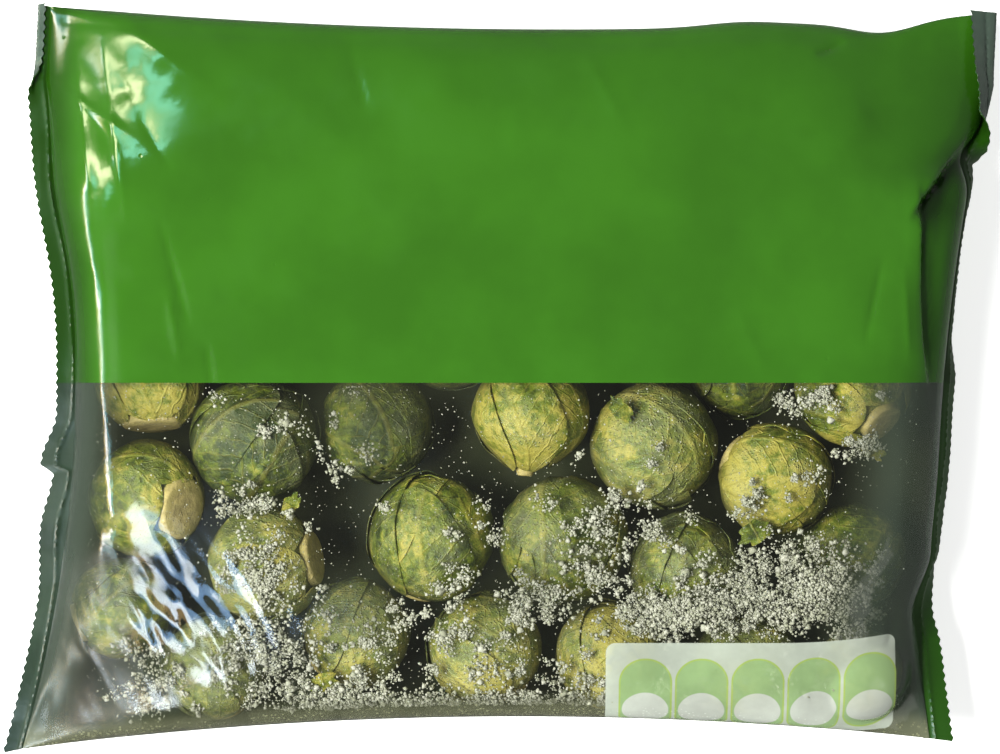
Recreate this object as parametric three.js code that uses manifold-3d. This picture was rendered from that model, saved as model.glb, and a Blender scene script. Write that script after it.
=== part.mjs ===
// A pillow bag of frozen Brussels sprouts, lying on its back with the printed front up.
// One web of film makes the bag: green print on its back and upper front, and a clear window below the print line.
// The sprouts lie loose inside in a single layer, with drifts of ice crumbs between them.
// Millimetres, +Z up, +X along the bag, +Y towards its top fold, the table at Z = 0.
import * as THREE from "three";
import { mergeVertices } from "three/addons/utils/BufferGeometryUtils.js";
import Module from "manifold-3d";

const wasm = await Module();
wasm.setup();

// Driving dimensions of the bag
const SEAM_HEIGHT = 18; // height of the end seals and side folds above the table
const FRONT_RISE = 26; // how far the front stands above the seals
const BACK_DROP = 18; // how far the back would hang below the seals, before the table flattens it
const FILM = 0.8; // wall, thicker than real film so that it makes a sound solid
const SEAL_WIDTH = 9; // crimped end seal, along X
const SEAL_HALF = 0.95; // half the thickness of the two welded walls
const PRINT_LINE = -1.3; // Y of the print's lower edge, where the clear window starts
const GAP = 0.3; // clearance between neighbouring solids

// The four corners of the sealed bag, and how far each side bows in between them
const CORNER = { bottomLeft: [-130, -98], topLeft: [-123, 98], topRight: [130, 96], bottomRight: [119.5, -95] };
const BOW = { left: 10.5, right: 8, top: 6, bottom: 8 };
const END_BOW_TOP = 0.9; // share of the height where the ends' bow stops, below the two top corners
const MID_LENGTH = 234; // seal edge to seal edge at the bag's waist
const MID_HEIGHT = 180; // fold to fold at the bag's waist

// How bluntly the faces round down to the seals and the folds
const END_ROUND = 22;
const END_POWER = 2.6;
const FOLD_POWER = { ears: 1.5, belly: 2.8 };

// The fin seal that closes the web's long edges, laid flat along the back near the top fold
const FIN = { from: 0.83, to: 0.885, step: 0.003, proud: 0.9 };

// The end seals wave up and down a little along their length
const SEAL_WAVE = { height: 2.2, turns: 1.25, start: 104, full: 120 };

// Sprouts
const LEAVES = 5; // overlapping wrapper leaves seen round a head
const LEAF_COLUMNS = [0, 0.42, 0.96]; // where each leaf is sampled, as shares of its width
const LEAF_STEP = 0.1; // how far a leaf's free edge stands out over the next leaf, as a share of the radius
const LEAF_TWIST = 0.45; // turn of the free edges from tip to stem, in radians per radian
const LEAF_WAVE = 0.015; // gentle swell along a leaf, as a share of the radius
const HEAD_ROWS = 9;
const STEM_CUT = { rim: 0.36, height: -0.97, neck: 155 };
const HEAD_CLEAR = 0.5; // room kept between sprouts
const FILM_CLEAR = 1.3; // room kept between a sprout and the film
const SETTLE_ROUNDS = 500;

// Ice crumbs
const CRUMB = { least: 2.4, most: 4.4, stride: 3.4, homing: 0.15, margin: 0.99 };

const lerp = THREE.MathUtils.lerp;
const clamp = THREE.MathUtils.clamp;
const degrees = THREE.MathUtils.degToRad;

// The plan of the bag

const bulge = (share) => 4 * share * (1 - share);

// The plan position at (u, t): u runs from the left seal's edge to the right one's, t from bottom fold to top fold.
function planPoint(u, t) {
  const endBow = bulge(Math.min(t / END_BOW_TOP, 1));
  const left = lerp(CORNER.bottomLeft[0], CORNER.topLeft[0], t) + BOW.left * endBow;
  const right = lerp(CORNER.bottomRight[0], CORNER.topRight[0], t) - BOW.right * endBow;
  const bottom = lerp(CORNER.bottomLeft[1], CORNER.bottomRight[1], u) + BOW.bottom * bulge(u);
  const top = lerp(CORNER.topLeft[1], CORNER.topRight[1], u) - BOW.top * bulge(u);
  return { x: lerp(left, right, u), y: lerp(bottom, top, t), left, right, bottom, top };
}

// The (u, t) of a plan position, by a few rounds of substitution.
function planShare(x, y) {
  let u = 0.5;
  let t = 0.5;
  for (let round = 0; round < 4; round++) {
    const { left, right, bottom, top } = planPoint(u, t);
    u = (x - left) / (right - left);
    t = (y - bottom) / (top - bottom);
  }
  return { u, t };
}

// The faces of the bag

// A quarter of a superellipse: 0 at the edge, rising steeply, 1 once share reaches 1.
const roundedRise = (share, power) => (1 - (1 - clamp(share, 0, 1)) ** power) ** (1 / power);

const fullness = (u) => {
  const fromSeal = Math.min(u, 1 - u) * MID_LENGTH - SEAL_WIDTH + FILM;
  return roundedRise(fromSeal / END_ROUND, END_POWER);
};

// Height of the bag's outer face; side is 1 on the front and -1 on the back.
function outerHeight(u, t, side) {
  const full = fullness(u);
  const power = lerp(FOLD_POWER.ears, FOLD_POWER.belly, full);
  const swell = full * (1 - Math.abs(2 * t - 1) ** power) ** (1 / power);
  const height = SEAM_HEIGHT + side * (SEAL_HALF + (side > 0 ? FRONT_RISE - SEAL_HALF : BACK_DROP) * swell);
  return Math.max(0, height);
}

// Height of the film's inner face, one wall inside the outer one.
function innerHeight(u, t, side) {
  const reach = side > 0 ? FRONT_RISE : SEAM_HEIGHT;
  return SEAM_HEIGHT + (outerHeight(u, t, side) - SEAM_HEIGHT) * (1 - FILM / reach);
}

// Grid lines across the bag, closer together where the faces round down to their edges.
const nearSeal = [SEAL_WIDTH - FILM, SEAL_WIDTH + 1, SEAL_WIDTH + 4.5, SEAL_WIDTH + 11, SEAL_WIDTH + END_ROUND];
const nearFold = [0, 1.2, 4.5, 10, 19, 32];

function gridLines(near, length, middle) {
  const low = near.map((distance) => distance / length);
  const last = low[low.length - 1];
  const inside = Array.from({ length: middle }, (_, i) => lerp(last, 1 - last, (i + 1) / (middle + 1)));
  return [...low, ...inside, ...low.map((share) => 1 - share).reverse()];
}

const cavityU = gridLines(nearSeal, MID_LENGTH, 6);
const shellU = [0, ...cavityU, 1];
const cavityT = gridLines(nearFold, MID_HEIGHT, 3);
const finT = [FIN.from - FIN.step, FIN.from, FIN.to, FIN.to + FIN.step];
const shellT = [...cavityT, ...finT].sort((a, b) => a - b);

// A pillow with the given grid lines: a box's front and back faces bent to the bag's shape, its sides the rim.
function pillow(us, ts, pointAt) {
  const box = new THREE.BoxGeometry(1, 1, 1, us.length - 1, ts.length - 1, 1);
  const position = box.attributes.position;
  for (let i = 0; i < position.count; i++) {
    const u = us[Math.round((position.getX(i) + 0.5) * (us.length - 1))];
    const t = ts[Math.round((position.getY(i) + 0.5) * (ts.length - 1))];
    position.setXYZ(i, ...pointAt(u, t, Math.sign(position.getZ(i))));
  }
  return solidOf(box);
}

function outerPoint(u, t, side) {
  const { x, y } = planPoint(u, t);
  const onFin = side < 0 && t >= FIN.from && t <= FIN.to;
  return [x, y, outerHeight(u, t, side) - (onFin ? FIN.proud : 0)];
}

function innerPoint(u, t, side) {
  const { x, y } = planPoint(u, t);
  return [x * (1 - (2 * FILM) / MID_LENGTH), y * (1 - (2 * FILM) / MID_HEIGHT), innerHeight(u, t, side)];
}

// Solids

// A closed three.js geometry as a solid that can be joined and cut.
function solidOf(geometry) {
  const bare = new THREE.BufferGeometry();
  bare.setAttribute("position", geometry.getAttribute("position"));
  bare.setIndex(geometry.index);
  const merged = mergeVertices(bare, 1e-4);
  const triVerts = merged.index
    ? new Uint32Array(merged.index.array)
    : Uint32Array.from({ length: merged.attributes.position.count }, (_, i) => i);
  return new wasm.Manifold(
    new wasm.Mesh({ numProp: 3, vertProperties: merged.attributes.position.array, triVerts }),
  );
}

function geometryOf(solid) {
  const mesh = solid.getMesh();
  const geometry = new THREE.BufferGeometry();
  geometry.setAttribute("position", new THREE.BufferAttribute(mesh.vertProperties, 3));
  geometry.setIndex(new THREE.BufferAttribute(mesh.triVerts, 1));
  geometry.computeVertexNormals();
  return geometry;
}

const largestBody = (solid) =>
  solid.decompose().reduce((best, body) => (body.volume() > best.volume() ? body : best));

// The film

// A block over the window: below the print line and in front of the given height.
function windowBlock(printLine, floor) {
  const size = 400;
  const block = new THREE.BoxGeometry(size, size, size);
  block.translate(0, printLine - size / 2, floor + size / 2);
  return solidOf(block);
}

// The end seals' wave, grown from nothing beside the sprouts to its full height at the seals.
function waveSeals(geometry) {
  const position = geometry.attributes.position;
  for (let i = 0; i < position.count; i++) {
    const reach = (Math.abs(position.getX(i)) - SEAL_WAVE.start) / (SEAL_WAVE.full - SEAL_WAVE.start);
    const phase = (2 * Math.PI * SEAL_WAVE.turns * position.getY(i)) / MID_HEIGHT;
    position.setZ(i, position.getZ(i) + SEAL_WAVE.height * clamp(reach, 0, 1) * Math.sin(phase));
  }
  return geometry;
}

const cavity = pillow(cavityU, cavityT, innerPoint);
const bagFilm = pillow(shellU, shellT, outerPoint).subtract(cavity);
const printedFilm = bagFilm.subtract(windowBlock(PRINT_LINE + GAP / 2, SEAM_HEIGHT - GAP / 2));
const windowFilm = bagFilm.intersect(windowBlock(PRINT_LINE - GAP / 2, SEAM_HEIGHT + GAP / 2));

// Where the sprouts lie

// Seen through the window, row by row: plan position, diameter, depth behind the front film, and the way that the
// cut stem points, as degrees round from +X and degrees up towards the front.
const windowSprouts = [
  { at: [-94, -1], across: 31, depth: 4, stem: [-88, 12] },
  { at: [-65.5, -11], across: 34, depth: 1, stem: [205, -35] },
  { at: [-35, -8], across: 30, depth: 9, stem: [100, -40] },
  { at: [-12, 4], across: 29, depth: 11, stem: [40, -30] },
  { at: [10, -5], across: 32, depth: 1, stem: [-96, 4] },
  { at: [43, -18], across: 34, depth: 0, stem: [125, -32] },
  { at: [66, 2], across: 29, depth: 11, stem: [75, -25] },
  { at: [86, -5], across: 31, depth: 2, stem: [-50, 32] },
  { at: [-92, -30], across: 31, depth: 1, stem: [-12, 38] },
  { at: [-62, -48], across: 31, depth: 2, stem: [10, 16] },
  { at: [-18, -35], across: 34, depth: 0, stem: [-105, -22] },
  { at: [17, -42], across: 34, depth: 1, stem: [60, -36] },
  { at: [49.5, -47], across: 30, depth: 3, stem: [-120, -45] },
  { at: [75, -29], across: 30, depth: 1, stem: [150, -20] },
  { at: [99, -43], across: 29, depth: 9, stem: [20, -40] },
  { at: [-100, -60], across: 27, depth: 7, stem: [-160, 0] },
  { at: [-77, -72], across: 28, depth: 6, stem: [-70, -20] },
  { at: [-38, -66], across: 29, depth: 6, stem: [-130, -15] },
  { at: [-5, -70], across: 30, depth: 3, stem: [-60, -10] },
  { at: [24, -70], across: 29, depth: 5, stem: [-100, -25] },
  { at: [62, -72], across: 28, depth: 6, stem: [-85, -30] },
  { at: [96, -71], across: 28, depth: 9, stem: [-45, -20] },
];

// Hidden behind the print: rows set like bricks, each stem turned on from the last by the golden angle.
const hiddenRows = [
  { y: 28, from: -88, count: 6, across: 33 },
  { y: 61, from: -92, count: 6, across: 32 },
];
const ROW_PITCH = 36;
const GOLDEN_ANGLE = 137.5;
const hiddenSprouts = hiddenRows.flatMap(({ y, from, count, across }, row) =>
  Array.from({ length: count }, (_, i) => ({
    at: [from + ROW_PITCH * i, y],
    across,
    depth: 3 + 3 * ((i + row) % 3),
    stem: [GOLDEN_ANGLE * (i + count * row), -20],
  })),
);

const heads = [...windowSprouts, ...hiddenSprouts].map(({ at: [x, y], across, depth, stem }) => {
  const { u, t } = planShare(x, y);
  const wanted = new THREE.Vector3(x, y, innerHeight(u, t, 1) - across / 2 - depth);
  return { wanted, centre: wanted.clone(), radius: across / 2, stem: stem.map(degrees) };
});

function pushApart(a, b) {
  const between = b.centre.clone().sub(a.centre);
  const overlap = a.radius + b.radius + HEAD_CLEAR - between.length();
  if (overlap <= 0) return;
  between.setLength(overlap / 2);
  a.centre.sub(between);
  b.centre.add(between);
}

// How far a point lies outside the bag's cavity, or a negative number inside it.
function overshoot({ x, y, z }) {
  const { u, t } = planShare(x, y);
  const outside = u < cavityU[0] || u > 1 - cavityU[0] || t < 0 || t > 1;
  return outside ? 1 : Math.max(z - innerHeight(u, t, 1), innerHeight(u, t, -1) - z);
}

const ball = mergeVertices(new THREE.IcosahedronGeometry(1, 1).deleteAttribute("normal").deleteAttribute("uv"));
const probes = Array.from({ length: ball.attributes.position.count }, (_, i) =>
  new THREE.Vector3().fromBufferAttribute(ball.attributes.position, i),
);

function keepInside(head) {
  for (const probe of probes) {
    const touch = head.centre.clone().addScaledVector(probe, head.radius + FILM_CLEAR);
    const over = overshoot(touch);
    if (over > 0) head.centre.addScaledVector(probe, -Math.min(over, 1) / 2);
  }
}

// The sprouts settle: each is drawn to its wanted place at first, and is pushed off its neighbours and the film.
for (let round = 0; round < SETTLE_ROUNDS; round++) {
  const pull = 0.05 * Math.max(0, 1 - (2 * round) / SETTLE_ROUNDS);
  heads.forEach((head) => head.centre.lerp(head.wanted, pull));
  heads.forEach((a, i) => heads.slice(i + 1).forEach((b) => pushApart(a, b)));
  heads.forEach(keepInside);
}

// A sprout of unit radius, tip towards +Z and cut stem towards -Z. Its wrapper leaves overlap like shingles:
// round the head the radius climbs across each leaf and drops at its free edge, and the edges twist from tip to stem.
function sproutGeometry(index) {
  const columns = LEAVES * LEAF_COLUMNS.length;
  const head = new THREE.SphereGeometry(1, columns, HEAD_ROWS);
  const { position, uv } = head.attributes;
  for (let i = 0; i < position.count; i++) {
    const column = Math.round(uv.getX(i) * columns) % columns;
    const row = Math.round((1 - uv.getY(i)) * HEAD_ROWS);
    const leaf = Math.floor(column / LEAF_COLUMNS.length);
    const across = LEAF_COLUMNS[column % LEAF_COLUMNS.length];
    const polar = degrees(STEM_CUT.neck * Math.min(1, row / (HEAD_ROWS - 2)));
    const onStem = row > HEAD_ROWS - 2;
    const step = LEAF_STEP * Math.sin(polar) ** 0.6 * (1 - across);
    const swell = LEAF_WAVE * (Math.sin(3 * polar + 2 * leaf + index) - 1);
    const reach = onStem ? STEM_CUT.rim : Math.sin(polar) * (1 - step + swell);
    const turn = ((leaf + across) * 2 * Math.PI) / LEAVES + LEAF_TWIST * (polar - Math.PI / 2);
    const radius = row === 0 || row === HEAD_ROWS ? 0 : reach;
    const height = onStem ? STEM_CUT.height : Math.cos(polar) * (1 - step / 2 - LEAF_WAVE);
    position.setXYZ(i, radius * Math.cos(turn), radius * Math.sin(turn), height);
  }
  head.deleteAttribute("normal");
  head.deleteAttribute("uv");
  const closed = mergeVertices(head, 1e-4);
  closed.computeVertexNormals();
  return closed;
}

const stemDown = new THREE.Vector3(0, 0, -1);

function sproutMesh({ centre, radius, stem: [round, up] }, index) {
  const mesh = new THREE.Mesh(sproutGeometry(index), materials.leaf);
  const stemWay = new THREE.Vector3(Math.cos(up) * Math.cos(round), Math.cos(up) * Math.sin(round), Math.sin(up));
  mesh.name = `sprout_${String(index + 1).padStart(2, "0")}`;
  mesh.position.copy(centre);
  mesh.quaternion.setFromUnitVectors(stemDown, stemWay);
  mesh.scale.setScalar(radius);
  return mesh;
}

// Ice crumbs

// Drifts in the hollows between the sprouts, near the front film.
const drifts = [
  { name: "ice_drift_left", at: [-58, -70, 30], crumbs: 16, seed: 11 },
  { name: "ice_drift_middle", at: [10, -58, 32], crumbs: 14, seed: 23 },
  { name: "ice_drift_right", at: [80, -56, 33], crumbs: 20, seed: 37 },
];

// Seeded random numbers from 0 to 1 (a linear congruential generator).
function randomFrom(seed) {
  let state = seed;
  return () => {
    state = (state * 1664525 + 1013904223) % 2 ** 32;
    return state / 2 ** 32;
  };
}

// A drift: crumbs laid along a random walk from its middle and fused, cut clear of the sprouts and the film.
function iceDrift({ at, crumbs, seed }) {
  const random = randomFrom(seed);
  const middle = new THREE.Vector3(...at);
  const place = middle.clone();
  let drift = null;
  for (let i = 0; i < crumbs; i++) {
    const crumb = new THREE.IcosahedronGeometry(lerp(CRUMB.least, CRUMB.most, random()), 0);
    crumb.rotateX(Math.PI * random());
    crumb.translate(place.x, place.y, place.z);
    drift = drift ? drift.add(solidOf(crumb)) : solidOf(crumb);
    const way = 2 * Math.PI * random();
    place.x += CRUMB.stride * Math.cos(way);
    place.y += CRUMB.stride * Math.sin(way);
    place.lerp(middle, CRUMB.homing);
  }
  for (const { centre, radius } of heads) {
    const room = new THREE.IcosahedronGeometry(radius + 2 * HEAD_CLEAR, 2);
    room.translate(centre.x, centre.y, centre.z);
    drift = drift.subtract(solidOf(room));
  }
  const inside = pillow(cavityU, cavityT, (u, t, side) => {
    const [x, y, z] = innerPoint(u, t, side);
    return [x * CRUMB.margin, y * CRUMB.margin, z - side * HEAD_CLEAR];
  });
  return largestBody(drift.intersect(inside));
}

// The assembly

const materials = {
  print: new THREE.MeshStandardMaterial({ color: 0x47882a, roughness: 0.3, metalness: 0 }),
  clear: new THREE.MeshStandardMaterial({
    color: 0xc9d6cc,
    roughness: 0.2,
    metalness: 0,
    transparent: true,
    opacity: 0.3,
  }),
  leaf: new THREE.MeshStandardMaterial({ color: 0x7f8c3e, roughness: 0.7, metalness: 0 }),
  ice: new THREE.MeshStandardMaterial({ color: 0xe6ebe2, roughness: 0.4, metalness: 0 }),
};

function namedMesh(name, geometry, material) {
  const mesh = new THREE.Mesh(geometry, material);
  mesh.name = name;
  return mesh;
}

const bag = new THREE.Group();
bag.add(namedMesh("film_printed", waveSeals(geometryOf(printedFilm)), materials.print));
bag.add(namedMesh("film_window", waveSeals(geometryOf(windowFilm)), materials.clear));
heads.forEach((head, index) => bag.add(sproutMesh(head, index)));
drifts.forEach((drift) => bag.add(namedMesh(drift.name, geometryOf(iceDrift(drift)), materials.ice)));

export default bag;
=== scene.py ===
import math

import bpy
import numpy as np
from bpy.props import FloatProperty, FloatVectorProperty, IntProperty, PointerProperty
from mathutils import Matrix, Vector


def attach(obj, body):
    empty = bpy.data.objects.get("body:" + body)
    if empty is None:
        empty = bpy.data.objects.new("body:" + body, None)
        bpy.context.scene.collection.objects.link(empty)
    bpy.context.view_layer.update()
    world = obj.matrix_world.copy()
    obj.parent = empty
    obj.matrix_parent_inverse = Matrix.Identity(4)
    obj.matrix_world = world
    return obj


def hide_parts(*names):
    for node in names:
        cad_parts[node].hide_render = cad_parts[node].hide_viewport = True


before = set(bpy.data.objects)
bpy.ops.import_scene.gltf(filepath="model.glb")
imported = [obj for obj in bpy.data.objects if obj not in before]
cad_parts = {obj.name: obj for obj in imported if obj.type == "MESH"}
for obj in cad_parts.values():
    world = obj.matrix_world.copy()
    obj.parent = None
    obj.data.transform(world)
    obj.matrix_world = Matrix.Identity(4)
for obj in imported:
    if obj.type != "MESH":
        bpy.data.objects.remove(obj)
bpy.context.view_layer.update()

bl_info = {
    "name": "Bag of frozen sprouts",
    "version": (1, 0, 0),
    "blender": (4, 5, 0),
    "location": "View3D > Sidebar > Sprout bag",
    "description": "Dresses the solids of a bag of frozen sprouts with film, seals, leaves and ice",
    "category": "Add Mesh",
}

MM = 0.001  # all shapes are worked out in millimetres

# The bag's section and plan, as in its solids
SEAM = 18.0  # height of the seals and folds, where the front and the back meet
FRONT_RISE = 25.6  # rise of the front film over the seam
BACK_DROP = 18.4  # drop of the back film under the seam
LIP = 0.4  # half the gap between the two films along the seam
FLOOR = 0.03  # lowest height of the film, just off the table
LEFT_SEAL = 5.4  # widths of the end seals
RIGHT_SEAL = 6.5
PRINT_LINE = -1.3  # where the print gives way to the window, up the bag
PANEL_TOP = -68.5  # upper edge of the info panel, up the bag
BODY_LENGTH = 222.0  # length between the seals
BODY_START = 0.035  # where the body starts, and how much it takes, as shares of the whole length
BODY_SHARE = 0.935
BODY_HEIGHT = 180.0  # usual height between the folds
LEFT_ROUND = 14.5  # reach of the rounding at the left and right ends
RIGHT_ROUND = 17.0
TOOTH_PITCH = 2.3
TOOTH_DEPTH = 0.6
FILM_CLEAR = 0.9  # least gap from a sprout to the film
HOLD_ROUND = 0.6  # how softly the film leaves a sprout, as a squared length
NO_TOP = 3.0  # heights given where no sprout lies
NO_BOTTOM = 60.0
SEAL_THICK = 0.3
FIN_THICK = 0.25
SCRAP_THICK = 0.35

# Points along and across the sheets
FILM_COLUMNS = 260
PRINT_ROWS = 124
BACK_ROWS = 52
WINDOW_ROWS = 130
SEAL_COLUMNS = 18
SEAL_ROWS = 760
FIN_COLUMNS = 220
FIN_ROWS = 12
LEAF_POINTS = 23
HIDDEN_LEAF_POINTS = 13
SCRAP_POINTS = 15

# Sizes in a sprout's head, as shares of its radius
FULLEST = 1.02  # furthest reach of the leaves
CORE = 0.905
STEM_OFF = 0.97  # from the centre to the cut stem
HEAD_SPAN = 1.955  # from the cut stem to the far side
INNER_LEAVES = 4
OUTER_LEAVES = 5
INNER_LEAN = (0.935, 0.02)  # radius of a leaf, and its climb across the leaf
OUTER_LEAN = (0.972, 0.026)
LEAF_THICK = 0.018

# The picture
SENSOR = 36.0  # width of the camera's sensor, in its own millimetres
VIEW_WIDTH = 0.2613  # width of the scene in the picture at the seam's height, in metres

SPROUTS = sorted(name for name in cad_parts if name.startswith("sprout_"))
DRIFTS = sorted(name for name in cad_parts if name.startswith("ice_drift"))
# How pale each sprout seen through the window is, from dark green to yellow
PALENESS = (
    0.62, 0.10, 0.36, 0.34, 0.84, 0.58, 0.40, 0.60, 0.58, 0.74, 0.50,
    0.56, 0.46, 0.86, 0.40, 0.30, 0.45, 0.70, 0.84, 1.00, 0.70, 0.70,
)
# Sprouts that differ from the rest, by number: width of the cut stem, narrowing towards it, frost and size
STEM_RIM = {1: 0.5, 5: 0.28, 8: 0.36, 9: 0.5, 10: 0.44}
NECK = {5: 0.6}
FROSTED = {
    2: 0.58, 6: 0.8, 10: 1.0, 12: 0.7, 13: 0.8, 17: 0.9,
    18: 0.85, 19: 0.9, 20: 0.75, 21: 0.9, 22: 0.9,
}
SHRUNK = {22: 0.82}  # a head beside the fold, smaller than its solid so that it stays under the film


class FilmSettings(bpy.types.PropertyGroup):
    """Sizes and colours of the bag's film."""

    thickness: FloatProperty(
        name="Thickness",
        description="Thickness of the film",
        default=0.00015,
        unit="LENGTH",
        subtype="DISTANCE",
    )
    sag: FloatProperty(
        name="Sag",
        description="How far the film sinks between sprouts",
        default=0.0008,
        unit="LENGTH",
        subtype="DISTANCE",
    )
    print_colour: FloatVectorProperty(
        name="Print",
        description="Colour of the printed film",
        default=(0.0255, 0.112, 0.0055),
        subtype="COLOR",
    )
    clear_colour: FloatVectorProperty(
        name="Haze",
        description="Colour of the clear film's haze",
        default=(0.046, 0.054, 0.029),
        subtype="COLOR",
    )
    haze: FloatProperty(
        name="Haze strength",
        description="Least opacity of the clear film",
        default=0.03,
        min=0,
        max=1,
        subtype="FACTOR",
    )


class SproutSettings(bpy.types.PropertyGroup):
    """Sizes and colours of the sprouts."""

    leaf_dark: FloatVectorProperty(
        name="Dark leaf",
        description="Colour of a dark leaf",
        default=(0.018, 0.034, 0.004),
        subtype="COLOR",
    )
    leaf_mid: FloatVectorProperty(
        name="Leaf",
        description="Colour of most leaves",
        default=(0.115, 0.155, 0.009),
        subtype="COLOR",
    )
    leaf_pale: FloatVectorProperty(
        name="Pale leaf",
        description="Colour of a pale leaf and of veins",
        default=(0.37, 0.33, 0.055),
        subtype="COLOR",
    )
    stem_colour: FloatVectorProperty(
        name="Cut stem",
        description="Colour of the cut stem",
        default=(0.50, 0.41, 0.155),
        subtype="COLOR",
    )
    frost: FloatProperty(
        name="Frost",
        description="Frost on a sprout that isn't listed by number",
        default=0.55,
        min=0,
        max=1,
        subtype="FACTOR",
    )


class IceSettings(bpy.types.PropertyGroup):
    """Amount and colour of the ice crumbs."""

    specks: IntProperty(
        name="Specks",
        description="Number of single specks over the window",
        default=3000,
        min=0,
    )
    crumb_size: FloatProperty(
        name="Crumb size",
        description="Usual size of a crumb",
        default=0.0003,
        unit="LENGTH",
        subtype="DISTANCE",
    )
    colour: FloatVectorProperty(
        name="Ice",
        description="Colour of the crumbs",
        default=(0.50, 0.51, 0.42),
        subtype="COLOR",
    )


class StageSettings(bpy.types.PropertyGroup):
    """Floor, light and camera."""

    floor_colour: FloatVectorProperty(
        name="Floor",
        description="Colour of the floor",
        default=(0.92, 0.92, 0.92),
        subtype="COLOR",
    )
    key_power: FloatProperty(
        name="Key light",
        description="Power of the main light",
        default=58.0,
        unit="POWER",
    )
    camera_height: FloatProperty(
        name="Camera height",
        description="Height of the camera over the bag",
        default=1.8,
        unit="LENGTH",
        subtype="DISTANCE",
    )


# Numbers over a surface


def ease(value, low, high):
    """0 below low, 1 above high, and a smooth step between."""
    share = np.clip((value - low) / (high - low), 0, 1)
    return share * share * (3 - 2 * share)


def hump(value, centre, width):
    """A bell curve of height 1."""
    return np.exp(-(((value - centre) / width) ** 2))


def bulge(share):
    """A parabola, 0 at both ends and 1 half way."""
    return 4 * share * (1 - share)


def soft_noise(x, y, pitch, seed):
    """Smooth random relief from -1 to 1: random heights on a square lattice, eased from point to point."""
    size = 64
    lattice = np.random.default_rng(seed).uniform(-1, 1, (size, size))
    i = np.floor(x / pitch).astype(int)
    j = np.floor(y / pitch).astype(int)
    across = ease(x / pitch - i, 0, 1)
    up = ease(y / pitch - j, 0, 1)
    left, right, low, high = i % size, (i + 1) % size, j % size, (j + 1) % size
    near = lattice[left, low] * (1 - across) + lattice[right, low] * across
    far = lattice[left, high] * (1 - across) + lattice[right, high] * across
    return near * (1 - up) + far * up


def line_shares(x, y, start, end):
    """Share of the way along a straight line, and the distance to its left, from the line's direction."""
    way = np.subtract(end, start)
    length = np.hypot(*way)
    along = ((x - start[0]) * way[0] + (y - start[1]) * way[1]) / length**2
    off = ((y - start[1]) * way[0] - (x - start[0]) * way[1]) / length
    return along, off


def crease(x, y, start, end, width, height):
    """A fold along a straight line: a sharp ridge or furrow across it, fading out towards both ends."""
    along, off = line_shares(x, y, start, end)
    return height * np.exp(-np.abs(off) / width) * bulge(np.clip(along, 0, 1))


def disc_grid(size):
    """A square grid bent to a disc of radius 1: a point moves in by the square of its other coordinate."""
    p, q = np.meshgrid(np.linspace(-1, 1, size), np.linspace(-1, 1, size), indexing="ij")
    return p * np.sqrt(1 - q * q / 2), q * np.sqrt(1 - p * p / 2)


# Meshes


def grid_quads(rows, columns):
    """Corner numbers of the faces of a grid whose points are numbered row by row."""
    number = np.arange(rows * columns).reshape(rows, columns)
    corners = (number[:-1, :-1], number[1:, :-1], number[1:, 1:], number[:-1, 1:])
    return np.stack(corners, axis=-1).reshape(-1, 4)


def grid_normals(points):
    """Unit normals of a grid of points, from the differences between neighbours."""
    normals = np.cross(np.gradient(points, axis=0), np.gradient(points, axis=1))
    return normals / np.maximum(np.linalg.norm(normals, axis=-1, keepdims=True), 1e-9)


def closed_sheet(points, thickness, uv=None, tint=0.0):
    """A grid of points given a thickness: its outer face, an inner face that far behind, and the rim."""
    rows, columns = points.shape[:2]
    count = rows * columns
    inner = points - grid_normals(points) * thickness
    face = grid_quads(rows, columns)
    number = np.arange(count).reshape(rows, columns)
    loop = np.concatenate((number[:-1, 0], number[-1, :-1], number[:0:-1, -1], number[0, :0:-1]))
    after = np.roll(loop, -1)
    rim = np.stack((loop, loop + count, after + count, after), axis=-1)
    flat_uv = np.zeros((count, 2)) if uv is None else uv.reshape(-1, 2)
    return {
        "points": np.concatenate((points.reshape(-1, 3), inner.reshape(-1, 3))),
        "quads": np.concatenate((face, face[:, ::-1] + count, rim)),
        "slots": np.concatenate((np.zeros(len(face)), np.ones(len(face)), np.zeros(len(rim)))).astype(int),
        "uv": np.tile(flat_uv, (2, 1)),
        "tint": np.tile(np.broadcast_to(tint, (rows, columns)).reshape(-1), 2),
    }


def lathe(radii, heights, segments):
    """A closed turned shape about Z: rings of the given radii and heights, ended by points on the axis."""
    turn = np.arange(segments) * 2 * math.pi / segments
    radii, heights = np.asarray(radii), np.asarray(heights)
    rings = np.stack(
        np.broadcast_arrays(
            radii[1:-1, None] * np.cos(turn), radii[1:-1, None] * np.sin(turn), heights[1:-1, None]
        ),
        axis=-1,
    )
    count = rings.shape[0]
    number = np.arange(count * segments).reshape(count, segments)
    beside = np.roll(number, -1, axis=1)
    quads = np.stack((number[:-1], beside[:-1], beside[1:], number[1:]), axis=-1).reshape(-1, 4)
    first, last = count * segments, count * segments + 1
    bottom = np.stack((np.full(segments, first), beside[0], number[0]), axis=-1)
    top = np.stack((np.full(segments, last), number[-1], beside[-1]), axis=-1)
    ends = np.array([[0, 0, heights[0]], [0, 0, heights[-1]]])
    return {
        "points": np.concatenate((rings.reshape(-1, 3), ends)),
        "quads": quads,
        "tris": np.concatenate((bottom, top)),
    }


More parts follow.
